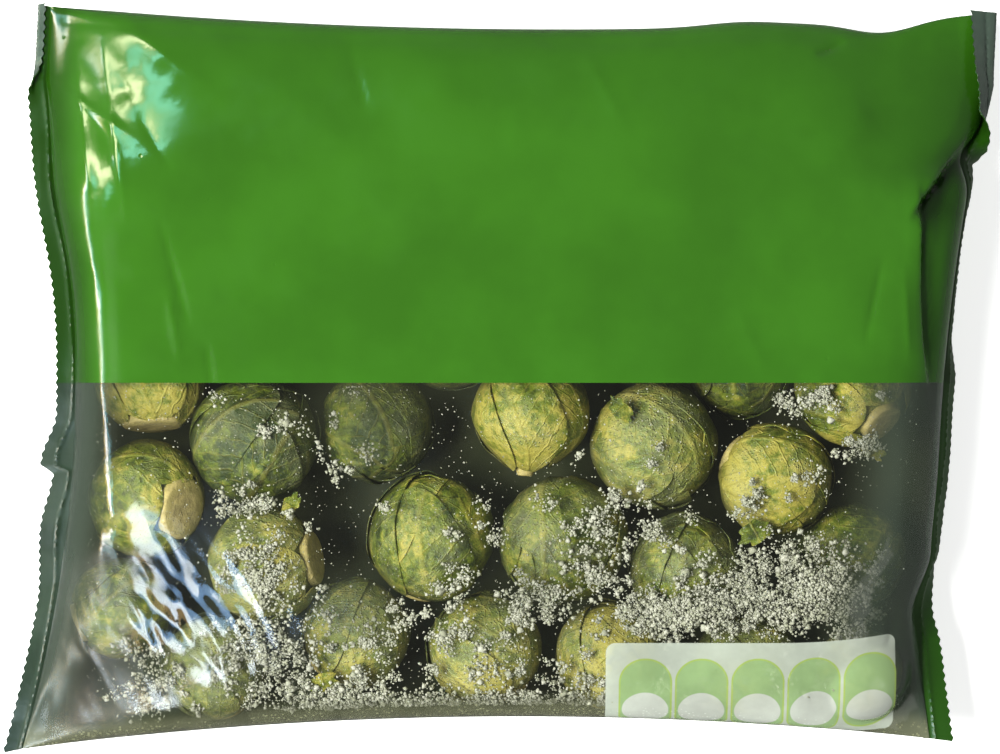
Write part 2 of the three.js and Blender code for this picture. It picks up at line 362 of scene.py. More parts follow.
def make_piece(name, parts, materials, replaced, crisp=50.0):
    """Joins parts into one mesh object in the bag's frame, with UV map, attributes and material slots."""
    counts = [len(part["points"]) for part in parts]
    starts = np.cumsum([0] + counts[:-1])
    quads = [part.get("quads", np.zeros((0, 4), int)) for part in parts]
    tris = [part.get("tris", np.zeros((0, 3), int)) for part in parts]
    quad_slots = [np.broadcast_to(part.get("slots", 0), len(own)) for part, own in zip(parts, quads)]
    tri_slots = [np.broadcast_to(part.get("tri_slots", 0), len(own)) for part, own in zip(parts, tris)]
    quads = np.concatenate([own + start for own, start in zip(quads, starts)])
    tris = np.concatenate([own + start for own, start in zip(tris, starts)])
    points = np.concatenate([part["points"] for part in parts])
    uvs = np.concatenate([part.get("uv", np.zeros((count, 2))) for part, count in zip(parts, counts)])
    corners = np.concatenate((quads.ravel(), tris.ravel())).astype(np.int32)
    quad_starts = np.arange(len(quads)) * 4
    tri_starts = len(quads) * 4 + np.arange(len(tris)) * 3
    mesh = bpy.data.meshes.new(name)
    mesh.vertices.add(len(points))
    mesh.vertices.foreach_set("co", (points * MM).astype(np.float32).ravel())
    mesh.loops.add(len(corners))
    mesh.loops.foreach_set("vertex_index", corners)
    mesh.polygons.add(len(quads) + len(tris))
    mesh.polygons.foreach_set("loop_start", np.concatenate((quad_starts, tri_starts)).astype(np.int32))
    mesh.polygons.foreach_set("material_index", np.concatenate(quad_slots + tri_slots).astype(np.int32))
    mesh.update(calc_edges=True)
    mesh.polygons.foreach_set("use_smooth", np.full(len(quads) + len(tris), True))
    uv_layer = mesh.uv_layers.new(name="surface")
    uv_layer.data.foreach_set("uv", uvs[corners].astype(np.float32).ravel())
    # Point attributes for the materials: tint (on the printed film, its painted shade), frost, and height
    # (for painted shade on the sprouts' lower sides).
    for key, usual in (("tint", 0.0), ("frost", 0.0), ("height", 1.0)):
        values = [np.broadcast_to(part.get(key, usual), count) for part, count in zip(parts, counts)]
        attribute = mesh.attributes.new(key, "FLOAT", "POINT")
        attribute.data.foreach_set("value", np.concatenate(values).astype(np.float32))
    mesh.set_sharp_from_angle(angle=math.radians(crisp))
    for material in materials:
        mesh.materials.append(material)
    if mesh.validate():
        raise RuntimeError(f"{name} had faces that had to be mended")
    piece = bpy.data.objects.new(name, mesh)
    bpy.context.scene.collection.objects.link(piece)
    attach(piece, "root")
    for node_name in replaced:
        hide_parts(node_name)
    return piece


# The sprouts' places, read from their solids


def sprout_places():
    """Centre, radius and stem direction of each sprout: its cut stem is the solid's largest flat face."""
    places = []
    for name in SPROUTS:
        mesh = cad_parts[name].data
        mesh.calc_loop_triangles()
        corners = np.zeros(len(mesh.loop_triangles) * 3, np.int32)
        mesh.loop_triangles.foreach_get("vertices", corners)
        points = np.zeros(len(mesh.vertices) * 3, np.float32)
        mesh.vertices.foreach_get("co", points)
        faces = points.reshape(-1, 3)[corners].reshape(-1, 3, 3).astype(float) / MM
        cross = np.cross(faces[:, 1] - faces[:, 0], faces[:, 2] - faces[:, 0])
        areas = np.linalg.norm(cross, axis=1) / 2
        normals = cross / np.maximum(2 * areas[:, None], 1e-9)
        which = np.unique(np.round(normals, 2), axis=0, return_inverse=True)[1].ravel()
        disc = which == np.argmax(np.bincount(which, weights=areas))
        stem = np.average(normals[disc], axis=0, weights=areas[disc])
        stem /= np.linalg.norm(stem)
        middle = np.average(faces[disc].mean(axis=1), axis=0, weights=areas[disc])
        reach = ((faces.reshape(-1, 3) - middle) @ -stem).max()
        radius = reach / HEAD_SPAN
        places.append({"centre": middle - stem * STEM_OFF * radius, "radius": radius, "stem": stem})
    return places


PLACES = sprout_places()
CENTRES = np.array([place["centre"] for place in PLACES])
RADII = np.array([place["radius"] for place in PLACES])


def sprout_halves(x, y):
    """Which sprouts lie over or under a plan position, and half their height there, as spheres."""
    off = np.hypot(x[..., None] - CENTRES[:, 0], y[..., None] - CENTRES[:, 1])
    return off < RADII, np.sqrt(np.maximum(RADII**2 - off**2, 0))


def sprout_tops(x, y):
    """Height of the sprouts' upper side over a plan position, or the bag's floor where there is none."""
    inside, half = sprout_halves(x, y)
    return np.where(inside, CENTRES[:, 2] + half, NO_TOP).max(axis=-1)


def sprout_bottoms(x, y):
    """Height of the sprouts' lower side over a plan position, or well above the bag where there is none."""
    inside, half = sprout_halves(x, y)
    return np.where(inside, CENTRES[:, 2] - half, NO_BOTTOM).min(axis=-1)


# The bag's shape


def full_share(u):
    """The share of the whole length, seals included, for a share of the body between them."""
    return BODY_START + BODY_SHARE * u


def bottom_fold(share):
    """The bottom fold in plan: a sloping line bowed up as a parabola."""
    return -98 + 3 * share + 8 * bulge(share)


def top_fold(share):
    """The top fold in plan: a sloping line bowed down as a parabola, with a dip and a crest near its end."""
    bowed = 98 - 2 * share - 6 * bulge(share)
    return bowed - 3.2 * hump(share, 0.86, 0.045) + 1.2 * hump(share, 0.72, 0.05)


def end_bow(t):
    """How far the bag's ends are drawn in: a parabola up to nine tenths of the height."""
    return bulge(np.minimum(t / 0.9, 1))


def left_bow(t):
    """The left end in plan: a sloping line drawn in by the bow, with a bulge above the middle."""
    return -130 + 7 * t + 10.5 * end_bow(t) - 2.6 * hump(t, 0.76, 0.11)


def left_edge(t):
    """Cut edge of the left seal: the bowed end with the lapped tuck below the print line."""
    lap = 3.4 * ease(t, 0.452, 0.39) * ease(t, 0.372, 0.384)
    return left_bow(t) - (lap + 2.0 * ease(t, 0.375, 0.3) * ease(t, 0.2, 0.3))


def left_line(t):
    """Inner edge of the left seal: the bowed end moved in by the seal's width."""
    return left_bow(t) + LEFT_SEAL


def right_line(t):
    """Inner edge of the right seal, further in where the seal lies flat."""
    bow = 8 * end_bow(t) + 2.2 * hump(t, 0.24, 0.09) + 3.4 * hump(t, 0.80, 0.03) + 0.9
    return 119.5 + 10.5 * t - bow - RIGHT_SEAL * ease(t, 0.26, 0.16)


def wave(x, y):
    """The end seals' slow rise and fall, as in the solids: a sine up the bag, growing towards its ends."""
    return 2.2 * np.clip((np.abs(x) - 104) / 16, 0, 1) * np.sin(2 * math.pi * 1.25 * y / BODY_HEIGHT)


def plan(u, t):
    """Plan position at shares of the body's length and height: straight lines between its bowed edges."""
    x = left_line(t) * (1 - u) + right_line(t) * u
    y = bottom_fold(full_share(u)) * (1 - t) + top_fold(full_share(u)) * t
    return x, y


def rounded(share, power):
    """A quarter of a superellipse: steep at 0, level at 1."""
    return (1 - (1 - np.clip(share, 0, 1)) ** power) ** (1 / power)


def swell(u, t, left_round, right_round):
    """How full the bag is, from 0 at its edges to 1: superellipses along and across, flat in the ears."""
    ear = np.maximum(ease(t, 0.74, 0.98), ease(t, 0.16, 0.02))
    left_power = 2.6 - 1.1 * ear
    right_power = 2.4 - 1.1 * ear
    left = rounded(u * BODY_LENGTH / left_round, left_power)
    right = rounded((1 - u) * BODY_LENGTH / right_round, right_power)
    full = left * right
    power = 1.5 + 1.3 * full
    return full * (1 - np.abs(2 * t - 1) ** power) ** (1 / power)


def front_rise(u, t):
    """Height of the front film over the seam: its ends slope longer in the corners that hold little."""
    low_slope = 52 * ease(t, 0.5, 0.14) * (1 - 0.6 * ease(t, 0.1, 0))
    left_round = LEFT_ROUND + 29 * hump(t, 0.86, 0.1) + low_slope
    right_round = RIGHT_ROUND + 34 * ease(t, 0.7, 0.9) + 16 * ease(t, 0.3, 0.1)
    return FRONT_RISE * swell(u, t, left_round, right_round)


# Folds seen in the film: start, end, half width and height, in millimetres
FOLDS = (
    ((-88, 42), (-80, 12), 1.6, -0.9),
    ((-86, 24), (-82, 2), 1.2, 0.7),
    ((-76, 10), (-74, -4), 1.0, -0.6),
    ((-118, 78), (-92, 60), 2.0, 0.9),
    ((-104, 88), (-96, 40), 1.8, 0.8),
    ((-111, 88), (-106, 48), 2.2, 1.3),
    ((-100, 80), (-84, 52), 1.8, -0.8),
    ((110, 40), (112, 4), 2.2, -1.6),
    ((104, 30), (106, 4), 1.6, 0.8),
    ((82, 84), (90, 88), 1.2, -1.0),
    ((99, 32), (94, 8), 1.4, -0.8),
    ((-104, -46), (-84, -84), 2.2, 0.45),
    ((-98, -50), (-74, -76), 2.4, -0.4),
    ((-112, -62), (-98, -88), 1.4, 0.6),
    ((108, -58), (116, -90), 1.5, 1.0),
    ((104, -56), (98, -88), 1.8, -0.8),
    ((20, 88), (34, 62), 2.4, 0.5),
    ((-40, 90), (-34, 66), 2.2, -0.5),
    ((60, 20), (70, -2), 2.6, 0.4),
)


# Lapped folds at the right end: start, end, depth of the step and its reach
TUCKS = (((123, 63), (108.5, 45), 4.5, 9), ((109, 47), (111.5, 2), 3.0, 7))


def tuck(x, y, start, end, depth, reach):
    """A lapped fold: a step down across a straight line that levels out again within a reach beyond it."""
    along, off = line_shares(x, y, start, end)
    held = ease(along, -0.12, 0.12) * ease(along, 1.25, 0.8)
    return -depth * ease(off, -0.7, 0.9) * np.exp(-np.maximum(off, 0) / reach) * held


def film_relief(x, y):
    """Relief of the front film: sunk between sprouts, uneven by soft noise, with dents and the folds."""
    off = np.hypot(x[..., None] - CENTRES[:, 0], y[..., None] - CENTRES[:, 1])
    held = np.exp(-((off / (0.62 * RADII)) ** 2)) * ease(CENTRES[:, 2] + RADII, 32, 42)
    sag = -bpy.context.scene.bag_film.sag / MM * (1 - held.max(axis=-1))
    uneven = 0.4 * soft_noise(x, y, 27, 3) + 0.16 * soft_noise(x, y, 12, 5)
    dents = 0.13 * soft_noise(x, y, 5.2, 7) * ease(soft_noise(x, y, 22, 9), -0.1, 0.7)
    along, across = 0.55 * x - y, x + 0.55 * y
    strand = soft_noise(along / 9, across / 2.1, 1, 13) + 0.5 * soft_noise(along / 5, across / 1.2, 1, 14)
    strands = 0.34 * strand * np.exp(-(((x + 80) / 26) ** 2) - ((y + 62) / 22) ** 2)
    lapped = sum(tuck(x, y, *fold) for fold in TUCKS)
    return sag + uneven + dents + strands + lapped + sum(crease(x, y, *fold) for fold in FOLDS)


def body_columns(count):
    """Shares along the body, closer together near its ends."""
    even = np.linspace(0, 1, count)
    return 0.45 * even + 0.55 * ease(even, 0, 1)


def front_points(u, y_share, low, high):
    """The outer face of the front film between two heights in plan, before its relief."""
    share = full_share(u)
    y = low * (1 - y_share) + high * y_share
    t = np.clip((y - bottom_fold(share)) / (top_fold(share) - bottom_fold(share)), 0, 1)
    x, y = plan(u, t)
    z = SEAM + LIP + front_rise(u, t) + wave(x, y)
    return np.stack((x, y, z), axis=-1), t


def back_points(u, t):
    """The outer face of the back film, held down by the sprouts and flat where it rests on the table."""
    x, y = plan(u, t)
    z = SEAM - LIP - BACK_DROP * swell(u, t, LEFT_ROUND, RIGHT_ROUND) + wave(x, y)
    z += (under_sprouts(x, y, z) - z) * edge_fade(u, t)
    return np.stack((x, y, np.maximum(FLOOR, z)), axis=-1)


def raised(points, heights):
    """A grid of points moved out along its normals by a height at each point."""
    return points + grid_normals(points) * heights[..., None]


def edge_fade(u, t):
    """1 on the bag's faces, 0 along the seals and folds, so that relief leaves the edges closed."""
    return ease(np.minimum(u, 1 - u) * BODY_LENGTH, 0, 5) * ease(np.minimum(t, 1 - t) * BODY_HEIGHT, 0, 4)


def over_sprouts(x, y, z):
    """A height kept clear of the sprouts below it: the smooth maximum of the two."""
    gap = z - sprout_tops(x, y) - FILM_CLEAR
    return z + 0.5 * (np.sqrt(gap * gap + HOLD_ROUND) - gap)


def under_sprouts(x, y, z):
    """A height kept clear of the sprouts above it: the smooth minimum of the two."""
    gap = sprout_bottoms(x, y) - FILM_CLEAR - z
    return z - 0.5 * (np.sqrt(gap * gap + HOLD_ROUND) - gap)


def front_sheet(rows, low, high, easing):
    """The front film between two plan heights: its form with relief, held up by the sprouts under it."""
    u, y_share = np.meshgrid(body_columns(FILM_COLUMNS), easing(np.linspace(0, 1, rows)), indexing="ij")
    points, t = front_points(u, y_share, low(full_share(u)), high(full_share(u)))
    points = raised(points, film_relief(points[..., 0], points[..., 1]) * edge_fade(u, t))
    held = over_sprouts(points[..., 0], points[..., 1], points[..., 2])
    points[..., 2] += (held - points[..., 2]) * edge_fade(u, t)
    return points


def print_line(share):
    """The print line in plan: level all along the bag."""
    return PRINT_LINE + 0 * share


def lengths_below(points, line):
    """Length of film from a plan height to each point, column by column, counted on from that height."""
    steps = np.linalg.norm(np.diff(points, axis=1), axis=-1)
    length = np.concatenate((np.zeros((len(points), 1)), np.cumsum(steps, axis=1)), axis=1)
    above = np.argmax(points[..., 1] > line, axis=1)[:, None]
    low, high = (np.take_along_axis(points[..., 1], row, axis=1) for row in (above - 1, above))
    start, end = (np.take_along_axis(length, row, axis=1) for row in (above - 1, above))
    return line + length - (start + (end - start) * (line - low) / (high - low))


def printed_film():
    """The printed web: up the front from the print line, over the top fold and down the whole back."""
    front = front_sheet(PRINT_ROWS, print_line, top_fold, lambda s: 1 - (1 - s) ** 1.5)
    down = 1 - ease(np.linspace(0, 1, BACK_ROWS), 0, 1)
    u, t = np.meshgrid(body_columns(FILM_COLUMNS), down, indexing="ij")
    back = back_points(u, t)
    x, y = back[..., 0], back[..., 1]
    uneven = 0.3 * soft_noise(x, y, 17, 21) + 0.14 * soft_noise(x, y, 6, 22)
    back = raised(back, uneven * edge_fade(u, t))
    back[..., 2] = np.maximum(back[..., 2], FLOOR)
    hem = back[:, -1:, :] + (0, 0, 2 * LIP)
    points = np.concatenate((front, back, hem), axis=1)
    u = body_columns(FILM_COLUMNS)[:, None] * BODY_LENGTH
    # Painted shade: the ink is darkened within 9 mm of the left seal and 8 mm of the right one, and in the
    # recesses of the lapped folds on the front; the tint attribute carries it to the printed film's
    # material.
    seal_shade = np.maximum(0.62 * ease(u, 9, 1), 0.5 * ease(BODY_LENGTH - u, 8, 1))
    tuck_shade = sum(tuck(points[..., 0], points[..., 1], *fold) for fold in TUCKS) / -4.0
    dark = np.maximum(seal_shade, np.clip(tuck_shade, 0, 1) * (np.arange(points.shape[1]) < front.shape[1]))
    return closed_sheet(points, bpy.context.scene.bag_film.thickness / MM, points[..., :2], dark)


def window_film():
    """The clear web of the front, from the bottom fold up to the print line."""
    points = front_sheet(WINDOW_ROWS, bottom_fold, print_line, lambda s: s**1.5)
    u = body_columns(FILM_COLUMNS)[:, None] * BODY_LENGTH
    right = BODY_LENGTH - u
    doubled = np.maximum(ease(u, 16, 1), np.maximum(0.9 * ease(right, 30, 10), ease(right, 9, 1)))
    uv = np.stack((points[..., 0], lengths_below(points, PANEL_TOP)), axis=-1)
    sheet = closed_sheet(points, bpy.context.scene.bag_film.thickness / MM, uv, doubled)
    above_fold = points[..., 1] - points[:, :1, 1]
    sheet["frost"] = np.tile(ease(above_fold, 9, 1.5).reshape(-1), 2)
    return sheet


def strip_path(outward, turn, start, bend):
    """Offsets out and up along a strip that turns by an angle over a short bend: sums of small steps."""
    angle = turn * ease(outward, start, start + bend)
    step = np.gradient(outward, axis=0)
    out = np.cumsum(np.cos(angle) * step, axis=0)
    up = np.cumsum(np.sin(angle) * step, axis=0)
    return out - out[:1], up - up[:1]


def tooth(y):
    """The zig-zag of the cut edge: a triangle wave."""
    return TOOTH_DEPTH * np.abs(2 * ((y / TOOTH_PITCH) % 1) - 1)


# How far the right seal is turned, in degrees, at shares of the bag's height
RIGHT_TURNS = (
    (0, -4), (0.14, -10), (0.24, -78), (0.3, -62), (0.5, -62), (0.6, -96),
    (0.72, -100), (0.79, -60), (0.82, 40), (0.86, 118), (0.93, 140), (1, 165),
)


def seal_sheet(left):
    """An end seal: a strip carried up the bag's end, cut in a zig-zag, ridged along its weld and folded."""
    shares = (np.linspace(0, 1, SEAL_COLUMNS), np.linspace(0, 1, SEAL_ROWS))
    share, t = np.meshgrid(*shares, indexing="ij")
    side = 0.0 if left else 1.0
    y = bottom_fold(full_share(side)) * (1 - t) + top_fold(full_share(side)) * t
    if left:
        line = left_line(t)
        width = line - left_edge(t)
        turn = np.radians(8 * soft_noise(y, 0 * y, 30, 31)) + np.radians(172) * ease(t, 0.86, 0.93)
        start, bend = width - 2.8, 1.4
    else:
        line = right_line(t)
        width = RIGHT_SEAL + 1.8 * ease(t, 0.84, 0.92)
        turn = np.radians(np.interp(t, *np.transpose(RIGHT_TURNS)))
        start, bend = 0.0, 1.3 + 0.8 * ease(t, 0.8, 0.86)
    inside = 1.5
    outward = -inside + share * (width + inside - tooth(y))
    out, up = strip_path(outward, turn, start, bend)
    out -= inside
    x = line - out if left else line + out
    end = plan(np.full_like(t, side), t)[1]
    ends = end + (bottom_fold(side) * (1 - t) + top_fold(side) * t - end) * np.clip(outward / width, 0, 1)
    weld = width - 4.6 + 0.7 * soft_noise(y, 0 * y, 16, 33)
    ridge = 0.55 * np.exp(-np.abs(outward - weld) / 0.45)
    ridge += 0.35 * soft_noise(x, y, 9, 35) * ease(outward, 0, 2)
    points = np.stack((x, ends, SEAM + wave(x, y) + up), axis=-1)
    uv = np.stack((outward, y), axis=-1)
    if left:
        points, ridge, uv = points[::-1], ridge[::-1], uv[::-1]
    return closed_sheet(raised(points, ridge), SEAL_THICK, uv)


def fin_sheet():
    """The fin seal: a flat strip along the back near the top fold, lying against it."""
    shares = (np.linspace(0.004, 0.996, FIN_COLUMNS), np.linspace(0, 1, FIN_ROWS))
    u, across = np.meshgrid(*shares, indexing="ij")
    t = 0.885 - 0.055 * across
    points = back_points(u, t)
    lift = 0.25 + 0.35 * across + 0.12 * soft_noise(points[..., 0], points[..., 1], 9, 41)
    points[..., 2] = np.maximum(points[..., 2] - lift, 0.35)
    return closed_sheet(points, FIN_THICK, points[..., :2])


# Sprouts


def turn_to(stem):
    """The rotation that carries a sprout's own down direction to its stem's, by the shortest turn."""
    return np.array(Vector((0, 0, -1)).rotation_difference(Vector(stem)).to_matrix())


def leaf_sheet(index, leaf, azimuth, reach, lean, paleness):
    """One wrapper leaf on a unit sprout: a round patch of the sphere with rib, veins and a free edge.

    A square grid is bent to a disc, laid on the sphere about the leaf's middle and twisted with the height.
    The radius climbs across the leaf towards its free edge, and rises with the veins and crinkles.
    """
    x, y = disc_grid(LEAF_POINTS if index < len(PALENESS) else HIDDEN_LEAF_POINTS)
    wide, tall, polar_middle = reach
    from_middle = np.hypot(x, y)
    swing = np.hypot(x * wide, y * tall)
    way = np.arctan2(y * tall, x * wide)
    polar_axis = np.array([math.sin(polar_middle), 0, math.cos(polar_middle)])
    side_way = np.array([0.0, 1.0, 0.0])
    up_way = np.array([-math.cos(polar_middle), 0, math.sin(polar_middle)])
    tangent = np.cos(way)[..., None] * side_way + np.sin(way)[..., None] * up_way
    unit = np.cos(swing)[..., None] * polar_axis + np.sin(swing)[..., None] * tangent
    seed = 100 + index * 17 + leaf
    edge = ease(from_middle, 0.7, 1)
    ruffle = soft_noise(x * 3 + leaf, y * 3 + index, 1, seed)
    vein = hump(x, 0, 0.07) * ease(y, 0.9, -0.6)
    branch = np.abs(((y - 0.9 * np.abs(x)) * 3.2 + 0.15 * ruffle) % 1 - 0.5) * 2
    crinkle = soft_noise(x * 5, y * 5, 1, seed + 1) + 0.6 * soft_noise(x * 9, y * 9, 1, seed + 3)
    radius = lean[0] + lean[1] * x + edge * (0.012 + 0.036 * ruffle)
    radius += 0.010 * vein + 0.006 * branch + 0.011 * crinkle
    polar = np.arccos(np.clip(unit[..., 2], -1, 1))
    twist = azimuth + 0.45 * (polar - math.pi / 2)
    turned = np.stack(
        (
            unit[..., 0] * np.cos(twist) - unit[..., 1] * np.sin(twist),
            unit[..., 0] * np.sin(twist) + unit[..., 1] * np.cos(twist),
            unit[..., 2],
        ),
        axis=-1,
    )
    tint = paleness + 0.14 * soft_noise(x + leaf, y, 0.8, seed + 2) - 0.12 * ease(y, -0.4, 0.9)
    uv = np.stack((x, y), axis=-1)
    return closed_sheet(turned * radius[..., None], LEAF_THICK, uv, np.clip(tint, 0, 1))


def lumpy(points, seed):
    """Dents a round head: each point moves in or out by smooth noise, up to the fullest reach."""
    x, y, z = points.T
    broad = soft_noise(1.3 * x + 0.6 * z + 9, 1.3 * y - 0.6 * z + 9, 1, 700 + seed)
    small = soft_noise(2.9 * x - 1.1 * z + 9, 2.9 * y + 1.3 * z + 9, 1, 750 + seed)
    lumped = points * (0.985 + 0.03 * broad + 0.015 * small)[:, None]
    reach = np.linalg.norm(lumped, axis=1, keepdims=True)
    return lumped * np.minimum(1, FULLEST / np.maximum(reach, 1e-9))


def squared(points, power):
    """Fills out a head's stem end: below its middle the circle of its section becomes a superellipse."""
    spread = np.hypot(points[:, 0], points[:, 1])
    low = np.maximum(-points[:, 2], 0)
    grown = np.hypot(spread, low) / np.maximum((spread**power + low**power) ** (1 / power), 1e-9)
    return points * np.where(points[:, 2] < 0, grown, 1.0)[:, None]


def sprout_parts(index, place):
    """A head of unit radius carried to its place: a core, inner and outer leaves, and the cut stem."""
    random = np.random.default_rng(400 + index)
    paleness = PALENESS[index] if index < len(PALENESS) else 0.5
    angles = np.linspace(0, math.pi, 13)
    parts = [lathe(CORE * np.sin(angles), -CORE * np.cos(angles), 24)]
    parts[0]["tint"] = paleness
    for leaf in range(INNER_LEAVES):
        azimuth = leaf * 2 * math.pi / INNER_LEAVES + random.uniform(-0.3, 0.3)
        reach = (0.92, 1.05, math.radians(random.uniform(52, 66)))
        shade = paleness + random.uniform(-0.05, 0.12)
        parts.append(leaf_sheet(index, leaf, azimuth, reach, INNER_LEAN, shade))
    for leaf in range(OUTER_LEAVES):
        azimuth = (leaf + 0.48) * 2 * math.pi / OUTER_LEAVES + random.uniform(-0.08, 0.08)
        reach = (random.uniform(0.84, 0.95), random.uniform(0.98, 1.14))
        reach += (math.radians(random.uniform(86, 94)),)
        shade = paleness + random.uniform(-0.16, 0.1)
        parts.append(leaf_sheet(index, leaf + INNER_LEAVES, azimuth, reach, OUTER_LEAN, shade))
    for part in parts:
        part["slots"] = 0
        part["frost"] = FROSTED.get(index + 1, bpy.context.scene.bag_sprouts.frost)
        part["points"] = squared(part["points"], 2.3)
    rim = STEM_RIM.get(index + 1, random.uniform(0.34, 0.4))
    face = -min(0.98, 1.07 * math.sqrt(1 - rim * rim))
    stem = lathe(
        (0, 0.5 * rim, 0.94 * rim, rim, 1.05 * rim, 1.1 * rim, 0),
        (face + 0.004, face + 0.003, face, face + 0.012, face + 0.05, face + 0.14, face + 0.2),
        28,
    )
    stem["slots"] = stem["tri_slots"] = 1
    spread = np.hypot(stem["points"][:, 0], stem["points"][:, 1])
    stem["tint"] = spread / rim
    stem["uv"] = stem["points"][:, :2] / rim
    parts.append(stem)
    turn = turn_to(place["stem"])
    neck = NECK.get(index + 1, 0.0)
    radius = place["radius"] * SHRUNK.get(index + 1, 1.0)
    for part in parts:
        low = np.clip(-part["points"][:, 2:], 0, 1) ** 2
        part["points"] = part["points"] * (1 - neck * low * np.array([1, 1, 0]))
        part["points"] = lumpy(part["points"], index) @ turn.T
        # The height within the head feeds the leaf material's painted shade on the head's lower side.
        part["height"] = part["points"][:, 2]
        part["points"] = part["points"] * radius + place["centre"]
    return parts


# Ice: gaps under the film, the lowest film with ice under it, crumbs in a clump and the window's reach
CRUMB_CLEAR = 0.35
LOWEST_FILM = 12.0
CLUMP = 36
SPECK_REACH = 108.0
SPECK_FOOT = -86.0
SPECK_DEPTH = 2.0
SCRAP_CLEAR = 2.6
# An eight-faced grain's corners and faces
GRAIN_CORNERS = np.array([(1, 0, 0), (0, 1, 0), (-1, 0, 0), (0, -1, 0), (0, 0, 1), (0, 0, -1)], float)
GRAIN_FACES = np.array(
    [(0, 1, 4), (1, 2, 4), (2, 3, 4), (3, 0, 4), (1, 0, 5), (2, 1, 5), (3, 2, 5), (0, 3, 5)]
)


def crumb_part(centres, sizes, random):
    """Crumbs of ice: an eight-faced grain pulled a little out of true, turned and sized for each centre."""
    count, size = len(centres), len(GRAIN_CORNERS)
    turns, _ = np.linalg.qr(random.normal(size=(count, 3, 3)))
    turns[:, :, 0] *= np.sign(np.linalg.det(turns))[:, None]
    pulled = GRAIN_CORNERS * random.uniform(0.8, 1.2, (count, size, 1))
    pulled = pulled * random.uniform(0.8, 1.2, (count, 1, 3))
    points = np.einsum("nij,nkj->nki", turns, pulled) * sizes[:, None, None] + centres[:, None]
    numbers = GRAIN_FACES + size * np.arange(count)[:, None, None]
    tint = np.repeat(random.uniform(0, 1, count), size)
    return {"points": points.reshape(-1, 3), "tris": numbers.reshape(-1, 3), "tint": tint}


def front_height(x, y):
    """Height of the front film's inner side over a plan position, from its smooth form."""
    u = np.full_like(x, 0.5)
    t = np.full_like(x, 0.5)
    for _ in range(5):
        t = (y - bottom_fold(full_share(u))) / (top_fold(full_share(u)) - bottom_fold(full_share(u)))
        u = (x - left_line(t)) / (right_line(t) - left_line(t))
    inside = (u > 0.03) & (u < 0.97) & (t > 0.02) & (t < 0.98)
    height = SEAM + LIP + front_rise(np.clip(u, 0, 1), np.clip(t, 0, 1)) + film_relief(x, y)
    return np.where(inside, over_sprouts(x, y, height), 0.0)


def lay_crumbs(x, y, sizes, random, depth):
    """Heights for crumbs at plan positions: under the film, on the sprouts or piled in the hollows."""
    ceiling = front_height(x, y) - CRUMB_CLEAR - 0.9 * sizes
    floor = sprout_tops(x, y) + 0.2 * sizes
    z = np.maximum(ceiling - depth * random.uniform(0, 1, x.shape) ** 1.6, np.minimum(floor, ceiling))
    keep = ceiling > LOWEST_FILM
    return np.stack((x, y, z), axis=-1)[keep], sizes[keep]


# Fields of crumbs: middle, half widths, number and depth of the pile, in millimetres
FIELDS = {
    "ice_drift_left": (
        ((-63, -49), (11, 9), 1500, 2),
        ((-58, -70), (11, 10), 2100, 5),
        ((-42, -83), (18, 4), 2700, 5),
        ((-86, -77), (16, 9), 1500, 5),
    ),
    "ice_drift_middle": (
        ((9, -58), (7, 8), 1000, 6),
        ((-2, -70), (12, 9), 1000, 2),
        ((26, -52), (8, 6), 600, 4),
        ((-12, -54), (6, 4), 300, 4),
        ((-32, -68), (11, 9), 900, 1),
        ((-2, -85), (26, 3), 2800, 5),
        ((22, -76), (8, 5), 400, 2),
    ),
    "ice_drift_right": (
        ((66, -57), (16, 7), 4600, 6),
        ((84, -57), (10, 9), 4000, 8),
        ((43, -61), (11, 5), 3600, 5),
        ((74, -47), (10, 5), 1000, 5),
        ((93, -17), (4, 3), 420, 2),
        ((82, -6), (7, 3), 600, 2),
    ),
}
LOOSE_FIELDS = (
    ((-66, -33), (8, 4), 620, 4),
    ((-38, -20), (9, 5), 220, 4),
    ((30, -36), (5, 6), 480, 3),
    ((40, -41), (4, 3), 260, 3),
    ((65, -31), (2.5, 3), 260, 3),
    ((50, -48), (10, 9), 240, 1),
    ((22, -42), (14, 12), 520, 1),
    ((40, -20), (14, 12), 200, 1),
    ((-62, -14), (14, 12), 260, 1),
    ((-18, -36), (13, 12), 220, 1),
    ((78, -26), (9, 10), 160, 1),
    ((55, -82), (40, 4), 1300, 5),
)


def crumb_field(fields, random):
    """Crumbs in clumps: clump middles fill a bell-shaped field, and crumbs crowd about each middle."""
    size = bpy.context.scene.bag_ice.crumb_size / MM
    parts = []
    for (mid_x, mid_y), (wide, tall), count, depth in fields:
        clumps = max(count // CLUMP, 5)
        clump_x = mid_x + wide * 0.62 * random.normal(size=clumps)
        clump_y = mid_y + tall * 0.62 * random.normal(size=clumps)
        breadth = np.exp(random.normal(0, 0.4, clumps))
        which = (clumps * random.uniform(0, 1, count) ** 1.3).astype(int)
        x = clump_x[which] + breadth[which] * random.normal(size=count)
        y = np.minimum(clump_y[which] + breadth[which] * random.normal(size=count), PRINT_LINE - 1)
        sizes = size * np.exp(random.normal(0, 0.5, count))
        centres, sizes = lay_crumbs(x, y, sizes, random, depth)
        parts.append(crumb_part(centres, sizes, random))
    return parts


def scattered_specks(random):
    """Single small specks all over the window."""
    count = bpy.context.scene.bag_ice.specks
    x = random.uniform(-SPECK_REACH, SPECK_REACH, count)
    y = random.uniform(SPECK_FOOT, PRINT_LINE - 1, count)
    sizes = bpy.context.scene.bag_ice.crumb_size / MM * np.exp(random.normal(-0.55, 0.35, count))
    centres, sizes = lay_crumbs(x, y, sizes, random, SPECK_DEPTH)
    return crumb_part(centres, sizes, random)


# Loose scraps of leaf under the film: middle, half widths and turn
SCRAPS = (
    ((66, -40), (4.5, 2.6), 0.5),
    ((31, -8), (3.5, 2.2), 2.2),
    ((-54, -33), (3.2, 2.0), 1.1),
    ((96, -19), (3.4, 1.9), -0.4),
    ((-46, -79), (4.2, 2.4), 0.2),
    ((-4, -79), (3.6, 2.0), 2.8),
)


